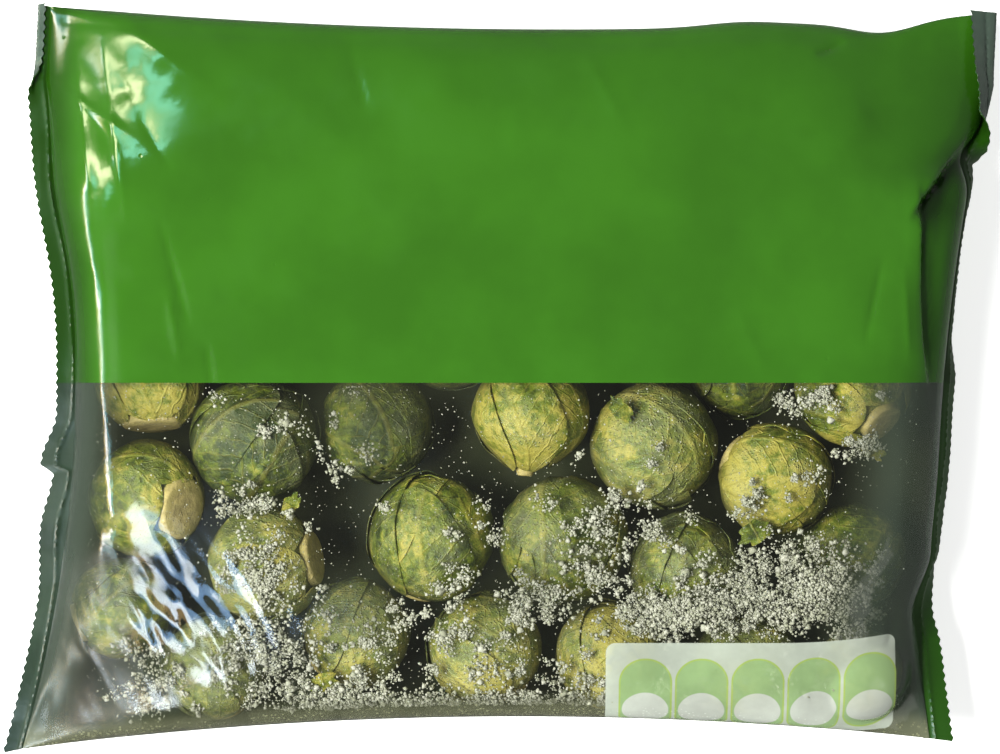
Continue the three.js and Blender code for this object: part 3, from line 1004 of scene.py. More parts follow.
def scrap_sheet(index, middle, half, turn):
    """A torn scrap of leaf: a disc with a ragged edge, crumpled, lying close under the film."""
    x, y = disc_grid(SCRAP_POINTS)
    out = np.hypot(x, y)
    ragged = 1 + 0.28 * soft_noise(3 * np.arctan2(y, x) + index, out, 1, 600 + index) * out
    across, along = x * half[0] * ragged, y * half[1] * ragged
    plan_x = middle[0] + across * math.cos(turn) - along * math.sin(turn)
    plan_y = middle[1] + across * math.sin(turn) + along * math.cos(turn)
    crumple = 0.5 * soft_noise(plan_x, plan_y, 2.2, 610 + index)
    z = front_height(plan_x, plan_y) - SCRAP_CLEAR + crumple - 0.05 * across**2
    points = np.stack((plan_x, plan_y, z), axis=-1)
    return closed_sheet(points, SCRAP_THICK, np.stack((x, y), axis=-1), 0.45 + 0.06 * index)


# Materials


def add(tree, kind, inputs=None, **settings):
    """A new shader node with its settings and inputs; an input may be a value or another node's output."""
    made = tree.nodes.new(kind)
    for key, value in settings.items():
        setattr(made, key, value)
    for key, value in (inputs or {}).items():
        if isinstance(value, bpy.types.NodeSocket):
            tree.links.new(value, made.inputs[key])
        else:
            made.inputs[key].default_value = value
    return made


def sums(tree, operation, first, second=0.5, clamp=False):
    """The output of a math node."""
    node = add(tree, "ShaderNodeMath", {0: first, 1: second}, operation=operation, use_clamp=clamp)
    return node.outputs[0]


def plus(tree, first, second):
    """The sum of two values."""
    return sums(tree, "ADD", first, second)


def minus(tree, first, second):
    """The first value less the second."""
    return sums(tree, "SUBTRACT", first, second)


def times(tree, first, second, clamp=False):
    """The product of two values."""
    return sums(tree, "MULTIPLY", first, second, clamp)


def remap(tree, value, low, high, to_low=0.0, to_high=1.0, smooth=True):
    """A value carried from one range to another, clamped."""
    kind = "SMOOTHSTEP" if smooth else "LINEAR"
    inputs = {0: value, 1: low, 2: high, 3: to_low, 4: to_high}
    return add(tree, "ShaderNodeMapRange", inputs, interpolation_type=kind).outputs[0]


def attribute(tree, name):
    """A number kept at each point of the piece."""
    return add(tree, "ShaderNodeAttribute", attribute_name=name).outputs["Fac"]


def blend(tree, share, first, second, kind="MIX"):
    """The output of a colour mix; colours are given as three numbers or as another node's output."""
    node = add(tree, "ShaderNodeMix", data_type="RGBA", blend_type=kind)
    for key, value in ((0, share), (6, first), (7, second)):
        if isinstance(value, bpy.types.NodeSocket):
            tree.links.new(value, node.inputs[key])
        elif key == 0:
            node.inputs[key].default_value = value
        else:
            node.inputs[key].default_value = (*value, 1.0)
    return node.outputs[2]


def noise(tree, vector, scale, detail=3.0, roughness=0.55):
    """The output of a noise texture, around one half."""
    inputs = {"Vector": vector, "Scale": scale, "Detail": detail, "Roughness": roughness}
    return add(tree, "ShaderNodeTexNoise", inputs).outputs["Fac"]


def material_base(name):
    """An empty material: its tree, its Principled shader and its object coordinates."""
    material = bpy.data.materials.new(name)
    material.use_nodes = True
    tree = material.node_tree
    shader = tree.nodes["Principled BSDF"]
    coordinates = tree.nodes.new("ShaderNodeTexCoord")
    return material, tree, shader, coordinates


def connect(tree, shader, **inputs):
    """Sets a shader's inputs, named with underscores for spaces, to values or other nodes' outputs."""
    for key, value in inputs.items():
        socket = shader.inputs[key.replace("_", " ")]
        if isinstance(value, bpy.types.NodeSocket):
            tree.links.new(value, socket)
        else:
            socket.default_value = value


def relief(tree, height, strength, distance):
    """The normal of a bumped surface, from its height."""
    node = add(tree, "ShaderNodeBump", {"Height": height, "Strength": strength, "Distance": distance})
    return node.outputs["Normal"]


def group_base(name, inputs, outputs):
    """An empty node group with float or vector inputs and outputs: its tree, input node and output node."""
    group = bpy.data.node_groups.new(name, "ShaderNodeTree")
    for key, kind in inputs:
        group.interface.new_socket(key, in_out="INPUT", socket_type=kind)
    for key, kind in outputs:
        group.interface.new_socket(key, in_out="OUTPUT", socket_type=kind)
    return group, group.nodes.new("NodeGroupInput"), group.nodes.new("NodeGroupOutput")


def film_surface_group():
    """Fine unevenness of the film: a height from dents, crinkles and pits, and patches of dull surface."""
    group, entry, leave = group_base(
        "film surface",
        (("Vector", "NodeSocketVector"), ("Dent scale", "NodeSocketFloat")),
        (("Height", "NodeSocketFloat"), ("Dullness", "NodeSocketFloat")),
    )
    inputs = {"Vector": entry.outputs[0], "Scale": entry.outputs[1], "Detail": 2.0}
    dents = add(group, "ShaderNodeTexNoise", inputs)
    crinkle = noise(group, entry.outputs[0], 900.0, 2.0)
    patches = noise(group, entry.outputs[0], 55.0, 3.0)
    pits = add(group, "ShaderNodeTexVoronoi", {"Vector": entry.outputs[0], "Scale": 48.0})
    pit = remap(group, pits.outputs["Distance"], 0.0, 0.032, -1.6, 0.0)
    height = plus(group, dents.outputs["Fac"], times(group, crinkle, 0.12))
    height = plus(group, height, pit)
    group.links.new(height, leave.inputs["Height"])
    group.links.new(remap(group, patches, 0.4, 0.7), leave.inputs["Dullness"])
    return group


def frost_group():
    """Grains of frost: small cells kept where a broader noise is high, as a mask."""
    group, entry, leave = group_base(
        "frost",
        (("Vector", "NodeSocketVector"), ("Amount", "NodeSocketFloat"), ("Grain", "NodeSocketFloat")),
        (("Mask", "NodeSocketFloat"), ("Height", "NodeSocketFloat")),
    )
    cells = add(group, "ShaderNodeTexVoronoi", {"Vector": entry.outputs[0], "Scale": entry.outputs[2]})
    grain = remap(group, cells.outputs["Distance"], 0.42, 0.12)
    fields = noise(group, entry.outputs[0], 85.0, 4.0, 0.65)
    level = minus(group, 0.86, times(group, entry.outputs[1], 0.5))
    spread = remap(group, minus(group, fields, level), -0.16, 0.16)
    mask = times(group, spread, plus(group, times(group, grain, 0.65), 0.35), clamp=True)
    group.links.new(mask, leave.inputs["Mask"])
    group.links.new(grain, leave.inputs["Height"])
    return group


def shared_group(name, build):
    """A node group by name, built the first time it is asked for."""
    return bpy.data.node_groups.get(name) or build()


def film_surface(tree, vector, dent_scale):
    """Height and dullness of a film from the shared group, for a scale of its dents."""
    node = add(tree, "ShaderNodeGroup", node_tree=shared_group("film surface", film_surface_group))
    tree.links.new(vector, node.inputs["Vector"])
    node.inputs["Dent scale"].default_value = dent_scale
    return node.outputs["Height"], node.outputs["Dullness"]


def frost_on(tree, vector, amount, grain):
    """Mask and height of frost from the shared group, for an amount and a scale of its grains."""
    node = add(tree, "ShaderNodeGroup", node_tree=shared_group("frost", frost_group))
    tree.links.new(vector, node.inputs["Vector"])
    if isinstance(amount, bpy.types.NodeSocket):
        tree.links.new(amount, node.inputs["Amount"])
    else:
        node.inputs["Amount"].default_value = amount
    node.inputs["Grain"].default_value = grain
    return node.outputs["Mask"], node.outputs["Height"]


def shaded(colour, factor):
    """A colour made darker or lighter by a factor."""
    return tuple(factor * part for part in colour)


BOX_EDGE = 0.15  # half the soft edge of a printed box, in millimetres


def rounded_box(tree, across, up, middle, half, corner):
    """Mask of a rounded rectangle: 1 within the corner radius of a smaller box, by the distance to it."""
    squares = []
    for value, centre, reach in zip((across, up), middle, half):
        off = sums(tree, "ABSOLUTE", minus(tree, value, centre))
        beyond = sums(tree, "MAXIMUM", minus(tree, off, reach - corner), 0.0)
        squares.append(sums(tree, "POWER", beyond, 2.0))
    distance = sums(tree, "POWER", plus(tree, *squares), 0.5)
    return remap(tree, distance, corner + BOX_EDGE, corner - BOX_EDGE)


def plan_box(tree, place, middle, half, corner):
    """Mask of a rounded rectangle in plan, with its sizes in millimetres."""
    across = times(tree, place.outputs[0], 1 / MM)
    up = times(tree, place.outputs[1], 1 / MM)
    return rounded_box(tree, across, up, middle, half, corner)


def film_print_material():
    """Glossy printed film: mottled green ink, painted shade near the end seals and in the lapped folds, with
    a pale back panel.
    """
    film = bpy.context.scene.bag_film
    material, tree, shader, coordinates = material_base("printed film")
    vector = coordinates.outputs["Object"]
    height, dull = film_surface(tree, vector, 160.0)
    mottle = noise(tree, vector, 26.0, 4.0)
    dim, bright = shaded(film.print_colour, 0.86), shaded(film.print_colour, 1.1)
    ink = blend(tree, remap(tree, mottle, 0.3, 0.7), dim, bright)
    place = add(tree, "ShaderNodeSeparateXYZ", {0: vector})
    panel = plan_box(tree, place, *BACK_PANEL)
    # Painted shade, from the tint attribute: the ink goes down to a sixth of the print's green near the
    # seals and in the lapped folds.
    dark = attribute(tree, "tint")
    ink = blend(tree, dark, ink, shaded(film.print_colour, 0.16))
    below = remap(tree, place.outputs[2], 0.016, 0.014)
    ink = blend(tree, times(tree, panel, below), ink, (0.56, 0.58, 0.52))
    connect(
        tree,
        shader,
        Base_Color=ink,
        Roughness=remap(tree, dull, 0.0, 1.0, 0.14, 0.22),
        Normal=relief(tree, height, 0.16, 0.0006),
        IOR=1.48,
    )
    return material


def film_inside_material():
    """The ink seen from inside the bag: dull and dark, with a pale panel and a bloom of frost."""
    material, tree, shader, coordinates = material_base("printed film inside")
    vector = coordinates.outputs["Object"]
    mottle = noise(tree, vector, 40.0, 4.0)
    ink = blend(tree, remap(tree, mottle, 0.3, 0.7), (0.022, 0.029, 0.012), (0.044, 0.05, 0.024))
    place = add(tree, "ShaderNodeSeparateXYZ", {0: vector})
    panel = plan_box(tree, place, *CORNER_PATCH)
    ink = blend(tree, times(tree, panel, 0.8), ink, (0.062, 0.070, 0.054))
    mask, _ = frost_on(tree, vector, 0.35, 700.0)
    ink = blend(tree, times(tree, mask, 0.2), ink, (0.12, 0.13, 0.10))
    height, _ = film_surface(tree, vector, 160.0)
    connect(tree, shader, Base_Color=ink, Roughness=0.5, Normal=relief(tree, height, 0.2, 0.0006))
    return material


# Printed boxes in millimetres: middle, half size and corner radius
BACK_PANEL = ((-62.0, -52.0), (44.0, 28.0), 4.0)
CORNER_PATCH = ((-104.0, -86.0), (10.0, 18.0), 3.0)
INFO_PANEL = ((64.9, -84.5), (37.6, 16.0), 2.6)
INFO_PRINT = ((66.8, -84.5), (36.4, 15.6), 1.0)
TABLET_RIM = ((0.0, -85.8), (6.9, 13.0), 6.7)
TABLET = ((0.0, -85.8), (6.45, 12.55), 6.3)
TABLET_START = 30.4  # left end of the row of tablets, and the pitch of the row
TABLET_PITCH = 14.55
DISC_MIDDLE = -89.0
DISC_RADII = (6.0, 6.2)
BEND_START = 72.0  # where the panel's right end starts to rise, and how steeply
BEND = 0.0028

# Inks of the window
WELDED_INK = (0.042, 0.058, 0.043)
FROST_INK = (0.19, 0.20, 0.12)
PANEL_INK = (0.40, 0.45, 0.38)
RIM_INK = (0.30, 0.42, 0.10)
TABLET_INK = (0.25, 0.38, 0.17)
DISC_INK = (0.47, 0.51, 0.45)

# Fogged patches of the clear film: middle, reach and strength
FOGGED = (
    (-35, -8, 22, 0.34),
    (-12, 2, 14, 0.25),
    (66, 1, 14, 0.2),
    (100, -42, 22, 0.32),
    (-38, -58, 16, 0.3),
    (24, -68, 14, 0.08),
    (6, -52, 16, 0.14),
    (-98, -62, 22, 0.12),
    (-78, -76, 16, 0.1),
)


def film_window_material():
    """Clear film with a milky haze that thickens in patches, and a pale printed panel of blank tablets."""
    film = bpy.context.scene.bag_film
    material, tree, shader, coordinates = material_base("clear film")
    vector = coordinates.outputs["Object"]
    height, dull = film_surface(tree, vector, 150.0)
    surface = add(tree, "ShaderNodeSeparateXYZ", {0: coordinates.outputs["UV"]})
    across = surface.outputs[0]
    lift = sums(tree, "POWER", sums(tree, "MAXIMUM", minus(tree, across, BEND_START), 0.0), 2.0)
    up = minus(tree, surface.outputs[1], times(tree, lift, BEND))
    panel = rounded_box(tree, across, up, *INFO_PANEL)
    repeat = sums(tree, "FLOORED_MODULO", minus(tree, across, TABLET_START), TABLET_PITCH)
    column = minus(tree, repeat, TABLET_PITCH / 2)
    within = rounded_box(tree, across, up, *INFO_PRINT)
    rim = times(tree, rounded_box(tree, column, up, *TABLET_RIM), within)
    tablet = times(tree, rounded_box(tree, column, up, *TABLET), within)
    off_across = sums(tree, "POWER", sums(tree, "DIVIDE", column, DISC_RADII[0]), 2.0)
    off_up = sums(tree, "POWER", sums(tree, "DIVIDE", minus(tree, up, DISC_MIDDLE), DISC_RADII[1]), 2.0)
    disc = times(tree, remap(tree, plus(tree, off_across, off_up), 1.06, 0.96), within)
    patches = noise(tree, vector, 30.0, 5.0, 0.6)
    haze = remap(tree, patches, 0.38, 0.78, film.haze, film.haze + 0.06)
    level = {0: vector, 1: (1.0, 1.0, 0.0)}
    flat = add(tree, "ShaderNodeVectorMath", level, operation="MULTIPLY").outputs[0]
    for x, y, reach, cover in FOGGED:
        middle = (x * MM, y * MM, 0.0)
        off = add(tree, "ShaderNodeVectorMath", {0: flat, 1: middle}, operation="DISTANCE").outputs["Value"]
        haze = plus(tree, haze, remap(tree, off, reach * MM, 0.0, 0.0, cover))
    edge_frost = attribute(tree, "frost")
    grains, _ = frost_on(tree, vector, plus(tree, times(tree, edge_frost, 0.7), 0.3), 900.0)
    frosted = times(tree, edge_frost, plus(tree, times(tree, grains, 0.55), 0.4))
    doubled = attribute(tree, "tint")
    ink = blend(tree, doubled, film.clear_colour, WELDED_INK)
    haze = sums(tree, "MAXIMUM", haze, times(tree, doubled, 0.8))
    ink = blend(tree, frosted, ink, FROST_INK)
    haze = sums(tree, "MAXIMUM", haze, frosted)
    ink = blend(tree, panel, ink, PANEL_INK)
    ink = blend(tree, rim, ink, RIM_INK)
    ink = blend(tree, tablet, ink, TABLET_INK)
    ink = blend(tree, disc, ink, DISC_INK)
    printed = remap(tree, patches, 0.35, 0.7, 0.6, 0.86)
    cover = sums(tree, "MAXIMUM", haze, times(tree, panel, printed))
    normal = relief(tree, height, 0.2, 0.0006)
    connect(tree, shader, Base_Color=ink, Alpha=cover, Roughness=0.5, Normal=normal)
    shader.inputs["Specular IOR Level"].default_value = 0.0
    low = remap(tree, surface.outputs[1], -38.0, -52.0)
    corner = times(tree, remap(tree, across, -92.0, -99.0), low)
    dullness = plus(tree, remap(tree, dull, 0.0, 1.0, 0.1, 0.22), times(tree, corner, 0.2))
    gloss = add(tree, "ShaderNodeBsdfGlossy", {"Normal": normal, "Roughness": dullness})
    facing = add(tree, "ShaderNodeLayerWeight", {"Blend": 0.5, "Normal": normal}).outputs["Facing"]
    slant = times(tree, sums(tree, "POWER", facing, 5.0), 0.96)
    mirrored = plus(tree, slant, 0.04)
    layered = add(tree, "ShaderNodeMixShader", {0: mirrored, 1: shader.outputs[0], 2: gloss.outputs[0]})
    tree.links.new(layered.outputs[0], tree.nodes["Material Output"].inputs["Surface"])
    return material


def film_underside_material():
    """The clear film's inner side: a trace of haze that thickens in patches."""
    film = bpy.context.scene.bag_film
    material, tree, shader, coordinates = material_base("clear film inside")
    patches = noise(tree, coordinates.outputs["Object"], 45.0, 4.0, 0.6)
    haze = remap(tree, patches, 0.4, 0.8, 0.0, 0.04)
    connect(tree, shader, Base_Color=(*film.clear_colour, 1.0), Roughness=0.6, Alpha=haze)
    return material


def seal_material(front):
    """The fused film of an end seal: ink above the print line, and clear film over ink below it. Its front
    ink is darkened as painted shade.
    """
    film = bpy.context.scene.bag_film
    material, tree, shader, coordinates = material_base("seal front" if front else "seal back")
    vector = coordinates.outputs["Object"]
    height, dull = film_surface(tree, vector, 260.0)
    mottle = remap(tree, noise(tree, vector, 60.0, 4.0), 0.3, 0.7)
    place = add(tree, "ShaderNodeSeparateXYZ", {0: vector})
    if front:
        # Painted shade: above the print line the front ink is the print's green at 0.34 of its strength, and
        # on the right below the print line at 0.45.
        above = remap(tree, place.outputs[1], PRINT_LINE * MM - 0.0002, PRINT_LINE * MM + 0.0002)
        right = remap(tree, place.outputs[0], -0.01, 0.01)
        lower_left = blend(tree, mottle, (0.010, 0.021, 0.011), (0.021, 0.037, 0.022))
        lower = blend(tree, right, lower_left, shaded(film.print_colour, 0.45))
        ink = blend(tree, above, lower, shaded(film.print_colour, 0.34))
    else:
        ink = blend(tree, mottle, (0.04, 0.062, 0.047), (0.066, 0.092, 0.072))
    connect(
        tree,
        shader,
        Base_Color=ink,
        Roughness=remap(tree, dull, 0.0, 1.0, 0.28, 0.4),
        Normal=relief(tree, height, 0.25, 0.0005),
        IOR=1.48,
    )
    return material


def leaf_veins(tree, across, up, wobble):
    """Mask of a leaf's midrib and of side veins that slant up from it, from the leaf's own UV map."""
    rib = remap(tree, sums(tree, "ABSOLUTE", across), 0.09, 0.02)
    slant = minus(tree, up, times(tree, sums(tree, "ABSOLUTE", across), 0.9))
    wave_along = plus(tree, times(tree, slant, 3.2), times(tree, wobble, 0.5))
    line = sums(tree, "ABSOLUTE", minus(tree, sums(tree, "FRACT", wave_along), 0.5))
    side = remap(tree, line, 0.1, 0.0)
    return sums(tree, "MAXIMUM", rib, times(tree, side, 0.7))


def leaf_material():
    """Frozen leaf: dark to yellow green by its tint, pale veins and foot, frosted, with painted shade on
    each head's lower side and low in the bag.
    """
    sprout = bpy.context.scene.bag_sprouts
    material, tree, shader, coordinates = material_base("frozen leaf")
    vector = coordinates.outputs["Object"]
    surface = add(tree, "ShaderNodeSeparateXYZ", {0: coordinates.outputs["UV"]})
    across, up = surface.outputs[0], surface.outputs[1]
    tint = attribute(tree, "tint")
    frost = attribute(tree, "frost")
    blotch = noise(tree, vector, 110.0, 6.0, 0.68)
    fine = noise(tree, vector, 420.0, 5.0, 0.7)
    pale = plus(tree, tint, remap(tree, blotch, 0.3, 0.7, -0.42, 0.38))
    pale = plus(tree, pale, remap(tree, fine, 0.3, 0.7, -0.3, 0.3))
    foot = remap(tree, up, -0.2, -0.95)
    pale = plus(tree, pale, times(tree, foot, 0.3))
    dark_half = blend(tree, remap(tree, pale, 0.0, 0.5, smooth=False), sprout.leaf_dark, sprout.leaf_mid)
    leaf = blend(tree, remap(tree, pale, 0.5, 1.0, smooth=False), dark_half, sprout.leaf_pale)
    veins = leaf_veins(tree, across, up, noise(tree, vector, 300.0, 2.0))
    warp = add(tree, "ShaderNodeVectorMath", {0: vector}, operation="ADD")
    bend = add(tree, "ShaderNodeTexNoise", {"Vector": vector, "Scale": 260.0, "Detail": 2.0})
    shift = {0: bend.outputs["Color"], 1: (0.0022,) * 3}
    shifted = add(tree, "ShaderNodeVectorMath", shift, operation="MULTIPLY")
    tree.links.new(shifted.outputs[0], warp.inputs[1])
    cells = {"Vector": warp.outputs[0], "Scale": 330.0}
    net = add(tree, "ShaderNodeTexVoronoi", cells, feature="DISTANCE_TO_EDGE")
    mesh_veins = remap(tree, net.outputs["Distance"], 0.11, 0.0)
    leaf = blend(tree, times(tree, veins, 0.24), leaf, sprout.leaf_pale)
    leaf = blend(tree, times(tree, mesh_veins, 0.05), leaf, sprout.leaf_pale)
    mask, grains = frost_on(tree, vector, frost, 1100.0)
    leaf = blend(tree, times(tree, mask, 0.75), leaf, (0.34, 0.355, 0.19))
    # Painted shade: the leaf darkens towards each head's lower side and towards the bottom of the bag.
    place = add(tree, "ShaderNodeSeparateXYZ", {0: vector})
    level = attribute(tree, "height")
    under = remap(tree, level, 0.55, -0.1, 0.0, 0.78)
    painted_low_shade = sums(tree, "MAXIMUM", remap(tree, place.outputs[2], 0.031, 0.01, 0.0, 0.82), under)
    leaf = blend(tree, painted_low_shade, leaf, (0.02, 0.026, 0.009))
    height = plus(tree, times(tree, veins, 0.3), times(tree, grains, times(tree, mask, 0.7)))
    height = plus(tree, height, times(tree, fine, 0.9))
    height = plus(tree, height, times(tree, remap(tree, net.outputs["Distance"], 0.0, 0.35), 0.1))
    connect(
        tree,
        shader,
        Base_Color=leaf,
        Roughness=remap(tree, blotch, 0.3, 0.7, 0.4, 0.6),
        Normal=relief(tree, height, 0.7, 0.0011),
    )
    return material


def stem_material():
    """The cut stem: tan flesh with a paler ring near its rim, fibrous across and frosted."""
    sprout = bpy.context.scene.bag_sprouts
    material, tree, shader, coordinates = material_base("cut stem")
    vector = coordinates.outputs["Object"]
    tint = attribute(tree, "tint")
    fibre = noise(tree, vector, 420.0, 4.0, 0.7)
    dim, bright = shaded(sprout.stem_colour, 0.62), shaded(sprout.stem_colour, 1.15)
    flesh = blend(tree, remap(tree, fibre, 0.3, 0.7), dim, bright)
    ring = times(tree, remap(tree, tint, 0.55, 0.8), remap(tree, tint, 1.1, 0.9))
    flesh = blend(tree, times(tree, ring, 0.3), flesh, sprout.leaf_pale)
    flesh = blend(tree, remap(tree, tint, 1.0, 1.2), flesh, sprout.leaf_pale)
    mask, grains = frost_on(tree, vector, 0.55, 850.0)
    flesh = blend(tree, times(tree, mask, 0.5), flesh, (0.34, 0.33, 0.25))
    height = plus(tree, fibre, times(tree, grains, mask))
    connect(tree, shader, Base_Color=flesh, Roughness=0.6, Normal=relief(tree, height, 0.5, 0.0008))
    return material


def ice_material():
    """Ice crumbs: white with a grey-green shade that changes from crumb to crumb, wet in places."""
    ice = bpy.context.scene.bag_ice
    material, tree, shader, coordinates = material_base("ice crumbs")
    vector = coordinates.outputs["Object"]
    tint = attribute(tree, "tint")
    cloud = noise(tree, vector, 500.0, 3.0)
    share = plus(tree, times(tree, tint, 0.6), times(tree, cloud, 0.5))
    white = blend(tree, remap(tree, share, 0.2, 0.95), (0.31, 0.325, 0.23), ice.colour)
    connect(
        tree,
        shader,
        Base_Color=white,
        Roughness=remap(tree, tint, 0.0, 1.0, 0.18, 0.5),
        Normal=relief(tree, cloud, 0.3, 0.0004),
        IOR=1.31,
    )
    return material


def floor_material():
    """A pale matt floor with the faintest mottling."""
    stage = bpy.context.scene.bag_stage
    material, tree, shader, coordinates = material_base("pale floor")
    mottle = noise(tree, coordinates.outputs["Object"], 6.0, 3.0)
    paint = blend(tree, mottle, shaded(stage.floor_colour, 0.99), stage.floor_colour)
    white = (1.0, 1.0, 1.0, 1.0)
    connect(tree, shader, Base_Color=paint, Roughness=0.8, Emission_Color=white, Emission_Strength=0.7)
    return material


# Operators


class SPROUTBAG_OT_printed_film(bpy.types.Operator):
    """Adds the printed film of the upper front, the top fold and the back"""

    bl_idname = "sprout_bag.printed_film"
    bl_label = "Printed film"

    def execute(self, context):
        finishes = [film_print_material(), film_inside_material()]
        make_piece("printed_film", [printed_film()], finishes, ["film_printed"])
        make_piece("fin_seal", [fin_sheet()], [finishes[0], finishes[0]], ["film_printed"])
        return {"FINISHED"}


class SPROUTBAG_OT_window_film(bpy.types.Operator):
    """Adds the clear film of the lower front"""

    bl_idname = "sprout_bag.window_film"
    bl_label = "Window film"

    def execute(self, context):
        finishes = [film_window_material(), film_underside_material()]
        make_piece("window_film", [window_film()], finishes, ["film_window"])
        return {"FINISHED"}


class SPROUTBAG_OT_end_seals(bpy.types.Operator):
    """Adds the two zig-zag end seals"""

    bl_idname = "sprout_bag.end_seals"
    bl_label = "End seals"

    def execute(self, context):
        finishes = [seal_material(True), seal_material(False)]
        for name, left in (("end_seal_left", True), ("end_seal_right", False)):
            make_piece(name, [seal_sheet(left)], finishes, ["film_printed", "film_window"])
        return {"FINISHED"}


class SPROUTBAG_OT_sprouts(bpy.types.Operator):
    """Adds every sprout with its wrapper leaves and cut stem"""

    bl_idname = "sprout_bag.sprouts"
    bl_label = "Sprouts"

    def execute(self, context):
        finishes = [leaf_material(), stem_material()]
        for index, (name, place) in enumerate(zip(SPROUTS, PLACES)):
            parts = sprout_parts(index, place)
            make_piece(f"{name}_leaves", parts, finishes, [name], crisp=70.0)
        return {"FINISHED"}


class SPROUTBAG_OT_ice(bpy.types.Operator):
    """Adds the drifts and specks of ice"""

    bl_idname = "sprout_bag.ice"
    bl_label = "Ice"

    def execute(self, context):
        finish = ice_material()
        random = np.random.default_rng(71)
        for name in DRIFTS:
            parts = crumb_field(FIELDS[name], random)
            make_piece(f"{name}_crumbs", parts, [finish], [name], crisp=180.0)
        loose = crumb_field(LOOSE_FIELDS, random) + [scattered_specks(random)]
        make_piece("ice_specks", loose, [finish], [], crisp=180.0)
        return {"FINISHED"}


class SPROUTBAG_OT_leaf_scraps(bpy.types.Operator):
    """Adds the loose scraps of leaf"""

    bl_idname = "sprout_bag.leaf_scraps"
    bl_label = "Leaf scraps"

    def execute(self, context):
        finish = bpy.data.materials["frozen leaf"]
        parts = [scrap_sheet(index, *scrap) for index, scrap in enumerate(SCRAPS)]
        make_piece("leaf_scraps", parts, [finish, finish], [])
        return {"FINISHED"}


def add_area_light(name, place, target, size, power, colour, lights=True, mirrored=True):
    """A rectangular soft light facing a target, which lights matt things, is mirrored in films, or both."""
    lamp = bpy.data.lights.new(name, "AREA")
    lamp.shape = "RECTANGLE"
    lamp.size, lamp.size_y = size
    lamp.energy = power
    lamp.color = colour
    light = bpy.data.objects.new(name, lamp)
    light.visible_camera = False
    light.visible_diffuse = lights
    light.visible_glossy = mirrored
    light.location = place
    light.rotation_euler = (Vector(target) - Vector(place)).to_track_quat("-Z", "X").to_euler()
    bpy.context.scene.collection.objects.link(light)


# Soft strips seen only as highlights: aim, turn and rise in degrees, distance, size, brightness and colour
STRIPS = (
    ("shoulder strip", (-0.11, 0.0, 0.03), 180, 24, 1.2, (0.07, 1.2), 46, (1.0, 0.99, 0.95)),
    ("shoulder strip warm", (-0.11, 0.0, 0.03), 180, 20, 1.2, (0.04, 1.2), 20, (1.0, 0.66, 0.16)),
    ("shoulder strip cool", (-0.11, 0.0, 0.03), 180, 29, 1.2, (0.06, 1.2), 14, (0.2, 0.66, 0.82)),
    ("upper strip", (-0.1, 0.07, 0.03), 133, 38, 1.2, (0.16, 0.55), 28, (1.0, 0.98, 0.62)),
    ("upper strip cool", (-0.1, 0.07, 0.03), 128, 49, 1.2, (0.14, 0.6), 16, (0.3, 0.85, 0.72)),
    ("lower strip", (-0.08, -0.065, 0.037), -130, 54, 0.26, (0.07, 0.17), 24, (0.82, 0.92, 1.0)),
    ("lower strip warm", (-0.09, -0.065, 0.037), -140, 43, 0.26, (0.035, 0.12), 7, (1.0, 0.66, 0.25)),
    ("lower strip cool", (-0.08, -0.065, 0.037), -124, 65, 0.26, (0.04, 0.12), 12, (0.3, 0.58, 1.0)),
)


# Floor, room and main lights, in metres
FLOOR_HALF = 3.0
ROOM_LIGHT = 0.2
KEY_PLACE = (-0.8, -0.1, 1.35)
FILL_PLACE = (1.0, -0.9, 1.0)
FILL_SHARE = 0.03
LAMP_SIZE = (0.7, 0.7)
LAMP_COLOUR = (1.0, 0.99, 0.95)
LAMP_TARGET = (0, 0, 0.02)
CAMERA_PLAN = (0.0, 0.0002)


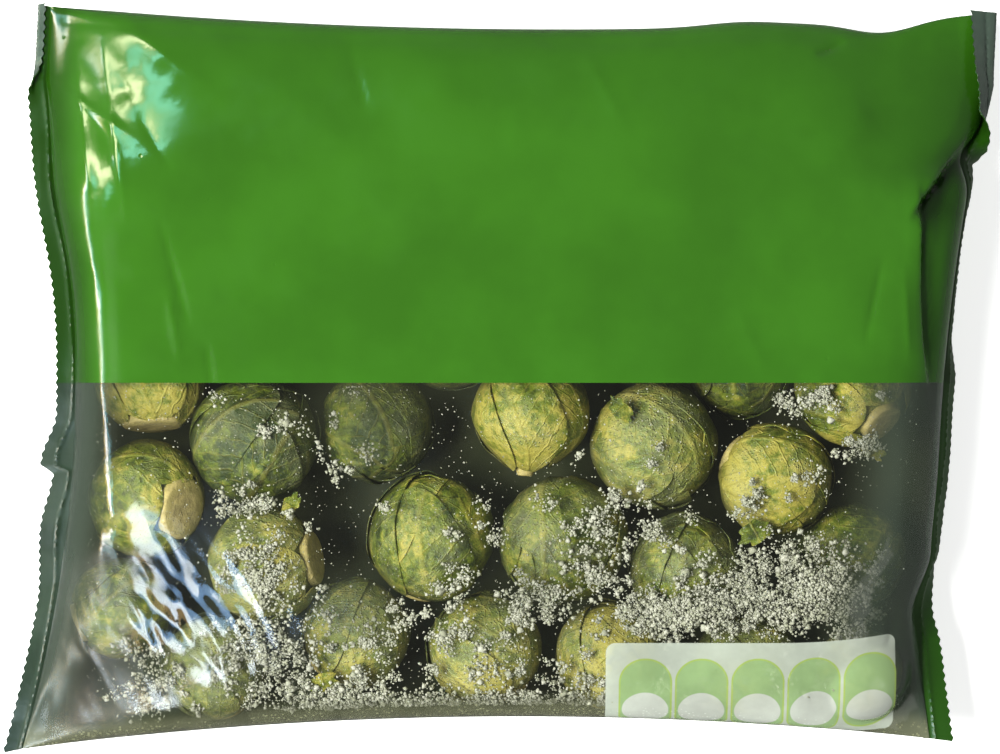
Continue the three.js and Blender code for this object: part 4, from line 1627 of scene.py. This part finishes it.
class SPROUTBAG_OT_stage(bpy.types.Operator):
    """Adds the floor, the lights and the camera"""

    bl_idname = "sprout_bag.stage"
    bl_label = "Stage"

    def execute(self, context):
        scene = context.scene
        stage = scene.bag_stage
        half = FLOOR_HALF
        mesh = bpy.data.meshes.new("floor")
        corners = [(-half, -half, 0), (half, -half, 0), (half, half, 0), (-half, half, 0)]
        mesh.from_pydata(corners, [], [(0, 1, 2, 3)])
        mesh.materials.append(floor_material())
        floor = bpy.data.objects.new("floor", mesh)
        scene.collection.objects.link(floor)
        floor.visible_glossy = False
        world = bpy.data.worlds.new("pale room")
        world.use_nodes = True
        background = world.node_tree.nodes["Background"]
        background.inputs["Color"].default_value = (1.0, 1.0, 1.0, 1.0)
        background.inputs["Strength"].default_value = ROOM_LIGHT
        scene.world = world
        power = stage.key_power
        add_area_light("key", KEY_PLACE, LAMP_TARGET, LAMP_SIZE, power, LAMP_COLOUR, mirrored=False)
        add_area_light("fill", FILL_PLACE, LAMP_TARGET, LAMP_SIZE, FILL_SHARE * power, LAMP_COLOUR)
        for name, aim, turn, rise, distance, size, brightness, colour in STRIPS:
            turn, rise = math.radians(turn), math.radians(rise)
            level = math.cos(rise)
            way = Vector((level * math.cos(turn), level * math.sin(turn), math.sin(rise)))
            strength = brightness * math.pi * size[0] * size[1]
            add_area_light(name, Vector(aim) + distance * way, aim, size, strength, colour, lights=False)
        lens = bpy.data.cameras.new("camera")
        lens.sensor_width = SENSOR
        lens.lens = SENSOR * (stage.camera_height - SEAM * MM) / VIEW_WIDTH
        camera = bpy.data.objects.new("camera", lens)
        camera.location = (*CAMERA_PLAN, stage.camera_height)
        scene.collection.objects.link(camera)
        scene.camera = camera
        scene.view_settings.view_transform = "Standard"
        return {"FINISHED"}


OPERATORS = (
    SPROUTBAG_OT_stage,
    SPROUTBAG_OT_printed_film,
    SPROUTBAG_OT_window_film,
    SPROUTBAG_OT_end_seals,
    SPROUTBAG_OT_sprouts,
    SPROUTBAG_OT_ice,
    SPROUTBAG_OT_leaf_scraps,
)


class SPROUTBAG_PT_panel(bpy.types.Panel):
    """Lists the bag's pieces"""

    bl_idname = "SPROUTBAG_PT_panel"
    bl_label = "Sprout bag"
    bl_space_type = "VIEW_3D"
    bl_region_type = "UI"
    bl_category = "Sprout bag"

    def draw(self, context):
        for operator in OPERATORS:
            self.layout.operator(operator.bl_idname)


SETTINGS = (
    ("bag_film", FilmSettings),
    ("bag_sprouts", SproutSettings),
    ("bag_ice", IceSettings),
    ("bag_stage", StageSettings),
)


def register():
    """Adds the settings, operators and panel to Blender."""
    for name, settings in SETTINGS:
        bpy.utils.register_class(settings)
        setattr(bpy.types.Scene, name, PointerProperty(type=settings))
    for kind in (*OPERATORS, SPROUTBAG_PT_panel):
        bpy.utils.register_class(kind)


def unregister():
    """Takes them out again, in the opposite order."""
    for kind in reversed((*OPERATORS, SPROUTBAG_PT_panel)):
        bpy.utils.unregister_class(kind)
    for name, settings in reversed(SETTINGS):
        delattr(bpy.types.Scene, name)
        bpy.utils.unregister_class(settings)


def main():
    """Builds the bag piece by piece."""
    register()
    bpy.ops.sprout_bag.stage()
    bpy.ops.sprout_bag.printed_film()
    bpy.ops.sprout_bag.window_film()
    bpy.ops.sprout_bag.end_seals()
    bpy.ops.sprout_bag.sprouts()
    bpy.ops.sprout_bag.ice()
    bpy.ops.sprout_bag.leaf_scraps()


if __name__ == "__main__":
    main()
